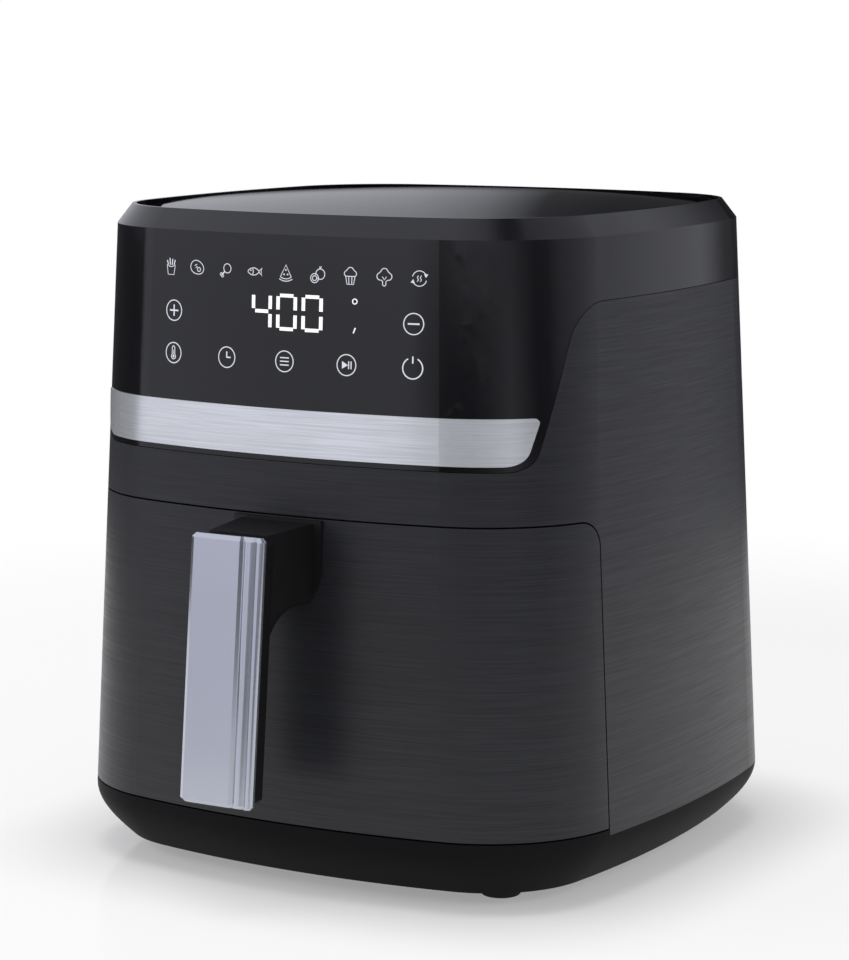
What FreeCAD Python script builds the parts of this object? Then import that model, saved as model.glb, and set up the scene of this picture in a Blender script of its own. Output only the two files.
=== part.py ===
import FreeCAD, Part
import math
import os

# Countertop air fryer, millimetres. +Z up, front faces -Y, origin on the floor under the body's axis.

# Body plan at the belt line
BODY_WIDTH = 280.0
BODY_DEPTH = 278.0
FRONT_BOW = 440.0
SIDE_BOW = 570.0
CORNER_R = 66.0
SIDE_DRAFT = 2.5
WALL = 2.8

# Heights, from the floor up
FOOT_HEIGHT = 6.5
BASE_HEIGHT = 23.5
SILL_HEIGHT = 2.5
DRAWER_HEIGHT = 138.2
LINTEL_HEIGHT = 23.7
PANEL_HEIGHT = 72.0
BAND_HEIGHT = 28.0
RIM_HEIGHT = 9.0

# Visible seams and fits
SEAM = 0.8
PANEL_SEAM = 0.3
FIT = 0.2
RUN_FIT = 0.03
SLIDE_GAP = 0.3

# Base and feet
BASE_INSET = 16.0
FOOT_D = 20.0
FOOT_EDGE = 52.0
FOOT_SINK = 1.0
POST_EDGE = 74.0
POST_SET = 10.1
POST_R = 5.0

# Upper housing, panel border and trim strip
DRAWER_WRAP = 66.5
DRAWER_CORNER_R = 11.5
PANEL_WRAP = 34.6
PANEL_RAKE = 17.5
PANEL_CORNER_R = 12.0
BAND_FILLET_R = 24.0
RIM_INSET = 6.5
RIM_LIP = 1.8
LIP_DROP = 8.0
LIP_T = 1.8
STRIP_HEIGHT = 20.8
STRIP_BORDER_Z = 2.4
STRIP_BORDER_Y = 3.7
STRIP_CORNER_R = 9.0
STRIP_TIP_R = 2.0
STRIP_DEPTH = 1.0
STRIP_PROUD = 0.5

# Top cover
COVER_GROOVE = 4.0
COVER_ROUND = 16.0
COVER_CROWN = 3.8
COVER_SPHERE = 1500.0
COVER_WALL = 2.5
COVER_EDGE_R = 2.0
LEDGE_DROP = 4.5
LEDGE_T = 2.5
LEDGE_WIDTH = 18.0

# Cooking bay
SHEET = 1.2
SIDE_SPACE = 17.0
BACK_SPACE = 17.0
LINER_R = 42.0
FLOOR_RISE = 1.5
FRAME_SET = 1.5
FRAME_T = 2.5
PASS_GAP = 1.5
RIM_CLEAR = 6.0
DOME_FRAME_GAP = 3.0
CEIL_LAP = 3.0

# Food tub
TUB_RIM_DROP = 10.0
TUB_SIDE_GAP = 2.5
TUB_BACK_GAP = 3.0
TUB_FRONT_GAP = 17.0
TUB_FLOOR_GAP = 5.0
TUB_FLANGE = 7.0
TUB_R = 48.0
TUB_DRAFT = 2.0
TUB_FOOT_R = 12.0
TUB_FLANGE_T = 1.2
RUNNER_H = 10.0
RUNNER_STOP = 2.0

# Drawer back moulding
INNER_T = 2.5
INNER_CLEAR = 0.6

# Handle
HANDLE_LENGTH = 118.0
HANDLE_REACH = 42.0
HANDLE_DROP = 3.1
GRIP_WIDTH = 31.4
GRIP_DEPTH = 16.3
GRIP_LEAN = 5.6
GRIP_CORNER_R = 9.0
COVER_DEPTH = 10.0
COVER_T = 2.0
COVER_BEVEL = 1.4
ARM_ROOT_WIDTH = 37.6
ARM_RISE = 1.6
ARM_HEIGHT = 35.0
ARM_BLEND_R = 22.0
ARM_EDGE_R = 4.5
FLANGE_WIDTH = 46.0
FLANGE_HEIGHT = 39.5
FLANGE_CORNER_R = 18.0
FLANGE_T = 2.0
HANDLE_SCREW_X = 9.0

# Crisper plate
PLATE_T = 1.5
PLATE_LEG = 12.0
PLATE_GAP = 3.0
PLATE_R = 44.0
PLATE_HOLE_D = 10.0
PLATE_RING_PITCH = 24.0
PLATE_RINGS = 3
PLATE_EYE_D = 18.0
BUMPER_LENGTH = 22.0
BUMPER_H = 7.0

# Hot air system
DOME_MARGIN = 18.0
DOME_HEIGHT = 39.0
DOME_FILLET = 10.0
GUARD_LAP = 7.0
GUARD_SLOT_W = 5.0
GUARD_SLOTS = 20
ELEMENT_D = 6.5
ELEMENT_SET = 16.0
ELEMENT_PITCH = 13.0
ELEMENT_RISE = 11.0
ELEMENT_SWEEP = 300.0
RISER_BEND_R = 9.0
FAN_GAP = 5.5
HOT_FAN_RISE = 26.0
HOT_BLADE_H = 13.0
HOT_BLADES = 10
SHAFT_D = 8.0
PILLAR_OUT = 13.0
PILLAR_SET = 7.772
PILLAR_D = 8.0

# Motor deck
DECK_GAP = 13.0
DECK_T = 2.5
GROMMET_H = 4.0
GROMMET_D = 12.0
COOL_FAN_R = 44.0
COOL_FAN_H = 11.0
COOL_BLADES = 9
BRACKET_T = 2.0
BRACKET_LEG_X = 52.0
BRACKET_DEPTH = 46.0
BRACKET_FOOT = 15.0
STATOR_BOSS = 7.0
STATOR_X = 70.0
STATOR_Y = 58.0
STATOR_H = 20.0
ROTOR_D = 28.0
AIR_GAP = 0.5
COIL_OVER = 5.0
BRIDGE_GAP = 9.0
BUSH_D = 16.0
BUSH_H = 8.0

# Back of the body
VENT_WIDTH = 96.0
VENT_HEIGHT = 40.0
VENT_DROP = 34.0
VENT_R = 8.0
VENT_FLANGE = 4.0
VENT_SLATS = 9
DUCT_T = 1.5
DUCT_DEPTH = 12.0
GLAND_RISE = 22.0
GLAND_BORE_D = 7.6
GLAND_NECK_D = 14.0
GLAND_FLANGE_D = 22.0
GLAND_FLANGE_T = 3.0

# Electronics
BOARD_T = 1.6
BOARD_GAP = 12.5
BOARD_WIDTH = 152.0
BOARD_MARGIN = 10.0
BOARD_POST_D = 7.0
DISPLAY_WIDTH = 44.0
DISPLAY_HEIGHT = 20.0
DISPLAY_RISE = 65.0
KEY_D = 7.0
KEY_PITCH = 16.3
KEY_SIDE_X = 63.0
KEY_TOP_RISE = 83.0
KEY_MID_RISE = 63.5
KEY_LOW_RISE = 44.3
POWER_EDGE = 31.0
POWER_GAP = 2.0
POWER_LENGTH = 108.0
POWER_RISE = 6.0
LOOM_D = 5.0
SWITCH_T = 6.4
SWITCH_H = 20.0
SWITCH_D = 10.0
SWITCH_DROP = 12.0
PLUNGER_D = 3.0
PLUNGER_TRAVEL = 1.2

# Fasteners
SCREW_D = 3.6
SCREW_HEAD_D = 7.0
SCREW_HEAD_H = 2.2

# Levels that follow from the heights
BELT_Z = FOOT_HEIGHT + BASE_HEIGHT
SILL_Z = BELT_Z + SILL_HEIGHT
DRAWER_Z0 = SILL_Z + SEAM
DRAWER_Z1 = DRAWER_Z0 + DRAWER_HEIGHT
LINTEL_Z = DRAWER_Z1 + SEAM
PANEL_Z = LINTEL_Z + LINTEL_HEIGHT
BAND_Z = PANEL_Z + PANEL_HEIGHT
CREASE_Z = BAND_Z + BAND_HEIGHT
RIM_Z = CREASE_Z + RIM_HEIGHT
LEDGE_Z = RIM_Z - LEDGE_DROP
FLOOR_Z = SILL_Z + FLOOR_RISE
TUB_RIM_Z = DRAWER_Z1 - TUB_RIM_DROP
TUB_Z = FLOOR_Z + SHEET + TUB_FLOOR_GAP
FLANGE_Z = TUB_RIM_Z - TUB_FLANGE_T
CEIL_Z = TUB_RIM_Z + RIM_CLEAR
DOME_Z = CEIL_Z + DOME_HEIGHT
DECK_Z = DOME_Z + DECK_GAP
DECK_TOP = DECK_Z + DECK_T
FOOT_PLATE_Z = DECK_TOP + GROMMET_H
COOL_FAN_Z = FOOT_PLATE_Z + BRACKET_T
BRIDGE_PLATE_Z = COOL_FAN_Z + COOL_FAN_H + 4.0
STATOR_Z = BRIDGE_PLATE_Z + BRACKET_T + STATOR_BOSS
BRIDGE_Z = STATOR_Z + STATOR_H + BRIDGE_GAP
VENT_Z = BAND_Z - VENT_DROP
GLAND_Z = BELT_Z + GLAND_RISE
PLATE_Z = TUB_Z + SHEET + PLATE_LEG

# Stations along the depth
FRONT_Y = -BODY_DEPTH / 2
WRAP_Y = FRONT_Y + DRAWER_WRAP
DRAWER_EDGE_Y = WRAP_Y - SEAM / 2
SHELL_EDGE_Y = WRAP_Y + SEAM / 2
FRAME_Y = SHELL_EDGE_Y + FRAME_SET
FRAME_BACK_Y = FRAME_Y + FRAME_T
FAR = 2 * (BODY_WIDTH + BODY_DEPTH)

# Feet, screw posts and power board, set in from the body's edges and the front frame
FOOT_X = BODY_WIDTH / 2 - FOOT_EDGE
FOOT_Y = BODY_DEPTH / 2 - FOOT_EDGE
POST_X = BODY_WIDTH / 2 - POST_EDGE
POST_Y = -FRAME_BACK_Y - POST_SET
POWER_X = BRACKET_LEG_X + BRACKET_FOOT + POWER_GAP
POWER_WIDTH = BODY_WIDTH / 2 - POWER_EDGE - POWER_X


def V(x, y, z):
    return FreeCAD.Vector(x, y, z)


def scale_at(z):
    """Size of the body's section at height z, as a share of the belt section."""
    return 1.0 - math.tan(math.radians(SIDE_DRAFT)) * (z - BELT_Z) / (BODY_WIDTH / 2)


# Bay and tub sizes that follow from the body
LINER_X = scale_at(CEIL_Z) * BODY_WIDTH / 2 - WALL - SIDE_SPACE
LINER_Y = scale_at(CEIL_Z) * BODY_DEPTH / 2 - WALL - BACK_SPACE
TUB_FLANGE_X = LINER_X - SHEET - TUB_SIDE_GAP
TUB_X = TUB_FLANGE_X - TUB_FLANGE
TUB_BACK_Y = LINER_Y - SHEET - TUB_BACK_GAP - TUB_FLANGE
TUB_FRONT_Y = -(scale_at(TUB_RIM_Z) * BODY_DEPTH / 2 - WALL - TUB_FRONT_GAP)
CAVITY_Y = (TUB_BACK_Y + TUB_FRONT_Y) / 2
DOME_R = LINER_X - DOME_MARGIN
PILLAR_RISE = CAVITY_Y - FRAME_BACK_Y - PILLAR_SET
PILLAR_ANGLE = math.degrees(math.asin(PILLAR_RISE / (DOME_R + PILLAR_OUT)))
ELEMENT_OUT_R = DOME_R - ELEMENT_SET
ELEMENT_IN_R = ELEMENT_OUT_R - ELEMENT_PITCH
HOT_FAN_R = ELEMENT_IN_R - ELEMENT_D / 2 - FAN_GAP
ELEMENT_Z = CEIL_Z + ELEMENT_RISE
BOARD_Y = -(scale_at(CREASE_Z) * BODY_DEPTH / 2 - WALL - BOARD_GAP)


# Geometry helpers

def place_xy(level):
    return lambda u, v: V(u, v, level)


def place_yz(level):
    return lambda u, v: V(level, u, v)


def place_xz(level):
    return lambda u, v: V(u, level, v)


def outline(corners, place):
    """Closed wire through (u, v, radius) corners, each rounded by its own radius."""
    count = len(corners)
    spans = []
    for i in range(count):
        u, v, radius = corners[i]
        point = V(u, v, 0)
        back = V(corners[i - 1][0], corners[i - 1][1], 0) - point
        ahead = V(corners[(i + 1) % count][0], corners[(i + 1) % count][1], 0) - point
        if radius <= 0:
            spans.append((point, None, point))
            continue
        half = back.getAngle(ahead) / 2
        back.normalize()
        ahead.normalize()
        bisector = back + ahead
        bisector.normalize()
        reach = radius / math.tan(half)
        middle = point + bisector * (radius / math.sin(half) - radius)
        spans.append((point + back * reach, middle, point + ahead * reach))
    edges = []
    for i in range(count):
        start, middle, end = spans[i]
        if middle is not None:
            arc = Part.Arc(place(start.x, start.y), place(middle.x, middle.y), place(end.x, end.y))
            edges.append(arc.toShape())
        following = spans[(i + 1) % count][0]
        if (following - end).Length > 1e-6:
            edges.append(Part.makeLine(place(end.x, end.y), place(following.x, following.y)))
    return Part.Wire(edges)


def rect(u0, u1, v0, v1, radius=0.0):
    return [(u0, v0, radius), (u1, v0, radius), (u1, v1, radius), (u0, v1, radius)]


def prism_x(corners, x0, x1):
    return Part.Face(outline(corners, place_yz(x0))).extrude(V(x1 - x0, 0, 0))


def prism_y(corners, y0, y1):
    return Part.Face(outline(corners, place_xz(y0))).extrude(V(0, y1 - y0, 0))


def prism_z(corners, z0, z1):
    return Part.Face(outline(corners, place_xy(z0))).extrude(V(0, 0, z1 - z0))


def block(x0, x1, y0, y1, z0, z1):
    return Part.makeBox(x1 - x0, y1 - y0, z1 - z0, V(x0, y0, z0))


def rod(x, y, z0, z1, radius):
    return Part.makeCylinder(radius, z1 - z0, V(x, y, z0), V(0, 0, 1))


def rod_y(x, z, y0, y1, radius):
    return Part.makeCylinder(radius, y1 - y0, V(x, y0, z), V(0, 1, 0))


def ring(x, y, z0, z1, outer, inner):
    return rod(x, y, z0, z1, outer).cut(rod(x, y, z0 - 1, z1 + 1, inner))


def revolve_z(corners, x, y):
    """Solid of revolution of a rounded (r, z) outline about the upright line through (x, y)."""
    face = Part.Face(outline(corners, place_xz(0)))
    solid = face.revolve(V(0, 0, 0), V(0, 0, 1), 360)
    solid.translate(V(x, y, 0))
    return solid


def turned(shape, angle, x, y):
    copy = shape.copy()
    copy.rotate(V(x, y, 0), V(0, 0, 1), angle)
    return copy


def mirrored_x(shape):
    return shape.mirror(V(0, 0, 0), V(1, 0, 0))


def screw_up(x, y, z, length):
    """Pan screw with its head below z and its shank going up."""
    head = rod(x, y, z - SCREW_HEAD_H, z, SCREW_HEAD_D / 2)
    return head.fuse(rod(x, y, z, z + length, SCREW_D / 2)).removeSplitter()


def screw_down(x, y, z, length):
    """Pan screw with its head above z and its shank going down."""
    head = rod(x, y, z, z + SCREW_HEAD_H, SCREW_HEAD_D / 2)
    return head.fuse(rod(x, y, z - length, z, SCREW_D / 2)).removeSplitter()


def group(solids):
    return Part.makeCompound(solids)


def save(name, shape):
    shape.exportStep("parts/" + name + ".step")


# Bowed plan section shared by every outer piece

def section(z, inset, scale_z=None):
    """Plan outline at height z, moved in by inset: bowed sides joined by tangent corner arcs."""
    k = scale_at(z if scale_z is None else scale_z)
    half_x = k * BODY_WIDTH / 2 - inset
    half_y = k * BODY_DEPTH / 2 - inset
    bow_y = k * FRONT_BOW - inset
    bow_x = k * SIDE_BOW - inset
    corner = k * CORNER_R - inset
    front_c = V(0, bow_y - half_y, 0)
    side_c = V(half_x - bow_x, 0, 0)
    reach_f = bow_y - corner
    reach_s = bow_x - corner
    between = side_c - front_c
    gap = between.Length
    along = (reach_f ** 2 - reach_s ** 2 + gap ** 2) / (2 * gap)
    across = math.sqrt(reach_f ** 2 - along ** 2)
    unit = between * (1 / gap)
    normal = V(-unit.y, unit.x, 0)
    centre = front_c + unit * along + normal * across
    if centre.x < 0 or centre.y > 0:
        centre = front_c + unit * along - normal * across
    to_front = centre - front_c
    to_side = centre - side_c
    on_front = front_c + to_front * (bow_y / to_front.Length)
    on_side = side_c + to_side * (bow_x / to_side.Length)
    out = (on_front - centre) + (on_side - centre)
    on_corner = centre + out * (corner / out.Length)
    marks = [on_front, on_corner, on_side]

    def at(point, sx, sy):
        return V(point.x * sx, point.y * sy, z)

    arcs = [
        (at(marks[0], -1, 1), V(0, -half_y, z), at(marks[0], 1, 1)),
        (at(marks[0], 1, 1), at(marks[1], 1, 1), at(marks[2], 1, 1)),
        (at(marks[2], 1, 1), V(half_x, 0, z), at(marks[2], 1, -1)),
        (at(marks[2], 1, -1), at(marks[1], 1, -1), at(marks[0], 1, -1)),
        (at(marks[0], 1, -1), V(0, half_y, z), at(marks[0], -1, -1)),
        (at(marks[0], -1, -1), at(marks[1], -1, -1), at(marks[2], -1, -1)),
        (at(marks[2], -1, -1), V(-half_x, 0, z), at(marks[2], -1, 1)),
        (at(marks[2], -1, 1), at(marks[1], -1, 1), at(marks[0], -1, 1)),
    ]
    return Part.Wire([Part.Arc(*arc).toShape() for arc in arcs])


def body(z0, z1, inset0, inset1=None):
    """Solid slice of the tapered body between two heights, moved in by inset."""
    upper = inset0 if inset1 is None else inset1
    return Part.makeLoft([section(z0, inset0), section(z1, upper)], True, True)


def front_surface(x, z, inset):
    """Y of the bowed front at (x, z), moved in by inset."""
    k = scale_at(z)
    bow = k * FRONT_BOW - inset
    return -(k * BODY_DEPTH / 2 - inset) + bow - math.sqrt(bow ** 2 - x ** 2)


# Split lines, drawn in side view

def upper_split(gap):
    """Region of the upper housing: control panel drop, raked side border and level band."""
    z0 = PANEL_Z - gap
    z1 = BAND_Z - gap
    y0 = FRONT_Y + PANEL_WRAP + gap
    y1 = y0 + math.tan(math.radians(PANEL_RAKE)) * (z1 - z0)
    corners = [(-FAR, z0, 0), (y0, z0, PANEL_CORNER_R + gap), (y1, z1, BAND_FILLET_R - gap)]
    corners += [(FAR, z1, 0), (FAR, 2 * RIM_Z, 0), (-FAR, 2 * RIM_Z, 0)]
    return prism_x(corners, -FAR, FAR)


def strip_split(gap):
    """Region of the trim strip, parallel to the panel's border."""
    z0 = PANEL_Z + STRIP_BORDER_Z - gap
    z1 = PANEL_Z + STRIP_BORDER_Z + STRIP_HEIGHT + gap
    rake = math.tan(math.radians(PANEL_RAKE))
    y0 = FRONT_Y + PANEL_WRAP - STRIP_BORDER_Y + gap + rake * STRIP_BORDER_Z
    y1 = y0 + rake * (z1 - z0)
    corners = [(-FAR, z0, 0), (y0, z0, STRIP_CORNER_R + gap), (y1, z1, STRIP_TIP_R + gap), (-FAR, z1, 0)]
    return prism_x(corners, -FAR, FAR)


def drawer_split(edge_y, z0, z1, radius):
    """Region of the drawer front, with its rounded upper back corner."""
    return prism_x([(-FAR, z0, 0), (edge_y, z0, 0), (edge_y, z1, radius), (-FAR, z1, 0)], -FAR, FAR)


# Fixed outside

def bowl(inset, z_top, z_bottom):
    """Smooth bowl under the belt: the wall curves in to the flat underside."""
    wires = []
    for step in range(5):
        t = step / 4.0
        draw_in = BASE_INSET * (1 - math.cos(t * math.pi / 2))
        wires.append(section(z_top + (z_bottom - z_top) * t, inset + draw_in, BELT_Z))
    return Part.makeLoft(wires, True, False)


def post_spots():
    return [(sx * POST_X, sy * POST_Y) for sx in (-1, 1) for sy in (-1, 1)]


def foot_spots():
    return [(sx * FOOT_X, sy * FOOT_Y) for sx in (-1, 1) for sy in (-1, 1)]


def make_base_tray():
    tray = bowl(0, BELT_Z, FOOT_HEIGHT)
    tray = tray.cut(bowl(WALL, BELT_Z, FOOT_HEIGHT + WALL))
    sill = body(BELT_Z, SILL_Z, 0).cut(body(BELT_Z - 1, SILL_Z + 1, WALL))
    sill = sill.common(block(-FAR, FAR, -FAR, SHELL_EDGE_Y - FIT, 0, 2 * SILL_Z))
    tray = tray.fuse(sill)
    for x, y in post_spots():
        tray = tray.fuse(rod(x, y, FOOT_HEIGHT + WALL / 2, FLOOR_Z, POST_R))
    for x, y in post_spots():
        tray = tray.cut(rod(x, y, 0, FLOOR_Z - FLOOR_RISE, SCREW_D / 2 + FIT / 4))
        tray = tray.cut(rod(x, y, 0, FOOT_HEIGHT + SCREW_HEAD_H, SCREW_HEAD_D / 2 + FIT))
    for x, y in foot_spots():
        tray = tray.cut(rod(x, y, 0, FOOT_HEIGHT + FOOT_SINK, FOOT_D / 2 + FIT / 2))
    slot_w = 3.0
    slot_l = 44.0
    for step in range(-4, 5):
        x = step * 3 * slot_w
        slot = prism_z(rect(x - slot_w / 2, x + slot_w / 2, -slot_l / 2, slot_l / 2), 0, FOOT_HEIGHT + 2 * WALL)
        tray = tray.cut(slot)
    return tray.removeSplitter()


def make_rubber_feet():
    radius = FOOT_D / 2
    profile = [(0, 0, 0), (radius - 1, 0, 1.5), (radius, FOOT_HEIGHT, 0)]
    profile += [(radius, FOOT_HEIGHT + FOOT_SINK, 0), (0, FOOT_HEIGHT + FOOT_SINK, 0)]
    return group([revolve_z(profile, x, y) for x, y in foot_spots()])


def make_base_screws():
    z = FOOT_HEIGHT + SCREW_HEAD_H
    return group([screw_up(x, y, z, FLOOR_Z - FLOOR_RISE - z - FIT) for x, y in post_spots()])


def vent_corners(grow):
    half_w = VENT_WIDTH / 2 + grow
    half_h = VENT_HEIGHT / 2 + grow
    return rect(-half_w, half_w, VENT_Z - half_h, VENT_Z + half_h, VENT_R + grow)


def gland_seat_y():
    """Flat seat of the cord bush, just under the back wall's outer face."""
    return scale_at(GLAND_Z + GLAND_FLANGE_D / 2) * BODY_DEPTH / 2 - 0.8


def make_body_shell():
    top = BAND_Z - PANEL_SEAM
    shell = body(BELT_Z, top, 0).cut(body(BELT_Z - 1, top + 1, WALL))
    shell = shell.cut(upper_split(PANEL_SEAM))
    shell = shell.cut(drawer_split(SHELL_EDGE_Y, 0, LINTEL_Z, DRAWER_CORNER_R + SEAM))
    shell = shell.cut(prism_y(vent_corners(0), 0, FAR))
    seat = gland_seat_y()
    boss = rod_y(0, GLAND_Z, seat - 2 * WALL, seat + WALL, GLAND_FLANGE_D / 2 + WALL)
    boss = boss.common(body(BELT_Z, top, FIT))
    shell = shell.fuse(boss)
    shell = shell.cut(rod_y(0, GLAND_Z, seat, FAR, GLAND_FLANGE_D / 2 + FIT))
    shell = shell.cut(rod_y(0, GLAND_Z, 0, FAR, GLAND_NECK_D / 2 + FIT / 4))
    return shell.removeSplitter()


def board_posts():
    x = BOARD_WIDTH / 2 - BOARD_POST_D / 2 - 1.0
    z0 = PANEL_Z + BOARD_MARGIN + BOARD_POST_D
    z1 = PANEL_Z + (KEY_TOP_RISE + KEY_MID_RISE) / 2
    return [(sx * x, z) for sx in (-1, 1) for z in (z0, z1)]


def ledge_inset():
    """Inset of the rim's wall at the ledge's foot."""
    return RIM_INSET * (LEDGE_Z - LEDGE_T - CREASE_Z) / RIM_HEIGHT


def make_upper_housing():
    outer = body(PANEL_Z, CREASE_Z, 0).fuse(body(CREASE_Z, RIM_Z, 0, RIM_INSET))
    inner = body(PANEL_Z - 1, CREASE_Z, WALL)
    slope = RIM_INSET / RIM_HEIGHT
    inner = inner.fuse(body(CREASE_Z, RIM_Z + 1, WALL, WALL + RIM_INSET + slope + RIM_LIP - WALL))
    housing = outer.cut(inner)
    ledge = body(LEDGE_Z - LEDGE_T, LEDGE_Z, ledge_inset() + WALL / 2)
    ledge = ledge.cut(body(LEDGE_Z - LEDGE_T - 1, LEDGE_Z + 1, ledge_inset() + WALL + LEDGE_WIDTH))
    ledge = ledge.common(outer)
    lip = body(BAND_Z + FIT, BAND_Z + LIP_DROP, WALL / 2)
    lip = lip.fuse(body(BAND_Z - LIP_DROP, BAND_Z + FIT, WALL + FIT))
    lip = lip.cut(body(BAND_Z - LIP_DROP - 1, BAND_Z + LIP_DROP + 1, WALL + FIT + LIP_T))
    lip = lip.common(block(-FAR, FAR, FRONT_Y + DRAWER_WRAP, FAR, 0, 2 * RIM_Z))
    housing = housing.common(upper_split(0)).fuse(ledge).fuse(lip)
    for x, z in board_posts():
        post = rod_y(x, z, -BODY_DEPTH, BOARD_Y, BOARD_POST_D / 2)
        housing = housing.fuse(post.common(body(PANEL_Z, CREASE_Z, WALL / 2)))
    pocket = body(PANEL_Z - 1, BAND_Z, -5).cut(body(PANEL_Z - 2, BAND_Z + 1, STRIP_DEPTH))
    housing = housing.cut(pocket.common(strip_split(FIT / 2)))
    for x, z in board_posts():
        housing = housing.cut(rod_y(x, z, BOARD_Y - 6.0, FAR, SCREW_D / 2 + FIT / 4).common(
            block(-FAR, FAR, BOARD_Y - 6.0, 0, 0, FAR)))
    return housing.removeSplitter()


def cover_corners(inset):
    """Outline of the top cover: rounder at its corners than the rim around it."""
    k = scale_at(RIM_Z)
    edge = RIM_INSET + RIM_LIP + COVER_GROOVE + inset
    half_x = k * BODY_WIDTH / 2 - edge
    half_y = k * BODY_DEPTH / 2 - edge
    return rect(-half_x, half_x, -half_y, half_y, CORNER_R + COVER_ROUND - inset)


def make_top_cover():
    top = RIM_Z + COVER_CROWN
    dome = Part.makeSphere(COVER_SPHERE, V(0, 0, top - COVER_SPHERE))
    cover = prism_z(cover_corners(0), LEDGE_Z, top + 5).common(dome)
    upper = [e for e in cover.Edges if e.BoundBox.ZMin > LEDGE_Z + 0.5]
    cover = cover.makeFillet(COVER_EDGE_R, upper)
    hollow = Part.makeSphere(COVER_SPHERE - COVER_WALL, V(0, 0, top - COVER_SPHERE))
    hollow = prism_z(cover_corners(2 * COVER_WALL), LEDGE_Z - 1, top + 5).common(hollow)
    return cover.cut(hollow)


def make_trim_strip():
    z0 = PANEL_Z - 1
    strip = body(z0, BAND_Z, -STRIP_PROUD).cut(body(z0 - 1, BAND_Z + 1, STRIP_DEPTH))
    return strip.common(strip_split(0))


def make_vent_grille():
    z0 = VENT_Z - VENT_HEIGHT
    z1 = VENT_Z + VENT_HEIGHT
    plate = body(z0, z1, 0.6).cut(body(z0 - 1, z1 + 1, WALL + FIT / 2))
    plate = plate.common(prism_y(vent_corners(-FIT), 0, FAR))
    flange = body(z0, z1, WALL + FIT / 2).cut(body(z0 - 1, z1 + 1, WALL + FIT / 2 + DUCT_T))
    flange = flange.common(prism_y(vent_corners(VENT_FLANGE), 0, FAR))
    grille = plate.fuse(flange)
    pitch = (VENT_WIDTH - 2 * VENT_R) / VENT_SLATS
    half_h = VENT_HEIGHT / 2 - VENT_FLANGE
    for step in range(VENT_SLATS):
        x = (step - (VENT_SLATS - 1) / 2) * pitch
        gap = rect(x - pitch * 0.3, x + pitch * 0.3, VENT_Z - half_h, VENT_Z + half_h)
        grille = grille.cut(prism_y(gap, 0, FAR))
    return grille.removeSplitter()


def make_cord_gland():
    seat = gland_seat_y()
    bore = GLAND_BORE_D / 2
    neck = GLAND_NECK_D / 2
    flange = GLAND_FLANGE_D / 2
    tail = GLAND_FLANGE_T + 7.0
    profile = [(bore, -3 * WALL, 0), (neck + 1.6, -3 * WALL, 0), (neck + 1.6, -2 * WALL, 0), (neck, -2 * WALL, 0)]
    profile += [(neck, 0, 0), (flange, 0, 0), (flange, GLAND_FLANGE_T, 1.0), (neck - 0.5, GLAND_FLANGE_T, 0)]
    profile += [(neck - 1.5, tail, 0), (bore, tail, 0)]
    gland = revolve_z(profile, 0, 0)
    gland.rotate(V(0, 0, 0), V(1, 0, 0), -90)
    gland.translate(V(0, seat, GLAND_Z))
    return gland


# Bay

def make_front_frame():
    face = block(-FAR, FAR, FRAME_Y, FRAME_BACK_Y, SILL_Z - SILL_HEIGHT + FIT, LINTEL_Z + 1.0 + FRAME_T)
    roof = block(-FAR, FAR, -FAR, FRAME_BACK_Y, LINTEL_Z + 1.0, LINTEL_Z + 1.0 + FRAME_T)
    deck = block(-FAR, FAR, -FAR, FRAME_BACK_Y, BELT_Z + FIT, SILL_Z - FIT)
    frame = face.fuse(roof).fuse(deck)
    frame = frame.common(body(BELT_Z, PANEL_Z, WALL + FIT))
    half = TUB_FLANGE_X + PASS_GAP
    top = CEIL_Z + SHEET + FIT
    frame = frame.cut(block(-half, half, FRAME_Y - 1, FRAME_BACK_Y + 1, FLOOR_Z + SHEET, top))
    frame = frame.cut(rod(0, CAVITY_Y, CEIL_Z, PANEL_Z, DOME_R + DOME_FRAME_GAP))
    hole_z = FLANGE_Z - SWITCH_DROP
    frame = frame.cut(rod_y(LINER_X + SWITCH_T / 2, hole_z, FRAME_Y - 1, FRAME_BACK_Y + 1, PLUNGER_D / 2 + 0.5))
    return frame.removeSplitter()


def liner_corners(inset):
    """Plan of the bay: straight at the front frame, round at the back."""
    half = LINER_X - inset
    back = LINER_Y - inset
    front = FRAME_BACK_Y
    round_r = LINER_R - inset
    return [(-half, front, 0), (half, front, 0), (half, back, round_r), (-half, back, round_r)]


def make_cavity_floor():
    floor = prism_z(liner_corners(0), FLOOR_Z, FLOOR_Z + SHEET)
    for step in (-1, 1):
        x0 = step * TUB_X / 2
        bead = block(x0 - 4, x0 + 4, FRAME_BACK_Y + 20, LINER_Y - LINER_R, FLOOR_Z + SHEET, FLOOR_Z + 2 * SHEET)
        floor = floor.fuse(bead)
    return floor


def make_cavity_liner():
    z0 = FLOOR_Z + SHEET
    wrap = prism_z(liner_corners(0), z0, CEIL_Z)
    hollow = [(u, v - 1 if v == FRAME_BACK_Y else v, r) for u, v, r in liner_corners(SHEET)]
    return wrap.cut(prism_z(hollow, z0 - 1, CEIL_Z + 1))


def make_drawer_runners():
    x0 = TUB_X + INNER_CLEAR + 1.0
    x1 = LINER_X - SHEET
    top = FLANGE_Z - SLIDE_GAP
    y0 = FRAME_BACK_Y
    profile = [(x0, top, 0), (x1, top, 0), (x1, top - RUNNER_H, 0)]
    profile += [(x1 - 1.6, top - RUNNER_H, 0), (x1 - 1.6, top - 3.0, 1.5), (x0, top - 2.0, 0)]
    rail = prism_y(profile, y0, LINER_Y - LINER_R - RUNNER_STOP)
    return group([rail, mirrored_x(rail)])


def duct_y():
    return CAVITY_Y + DOME_R + 6.0


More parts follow.
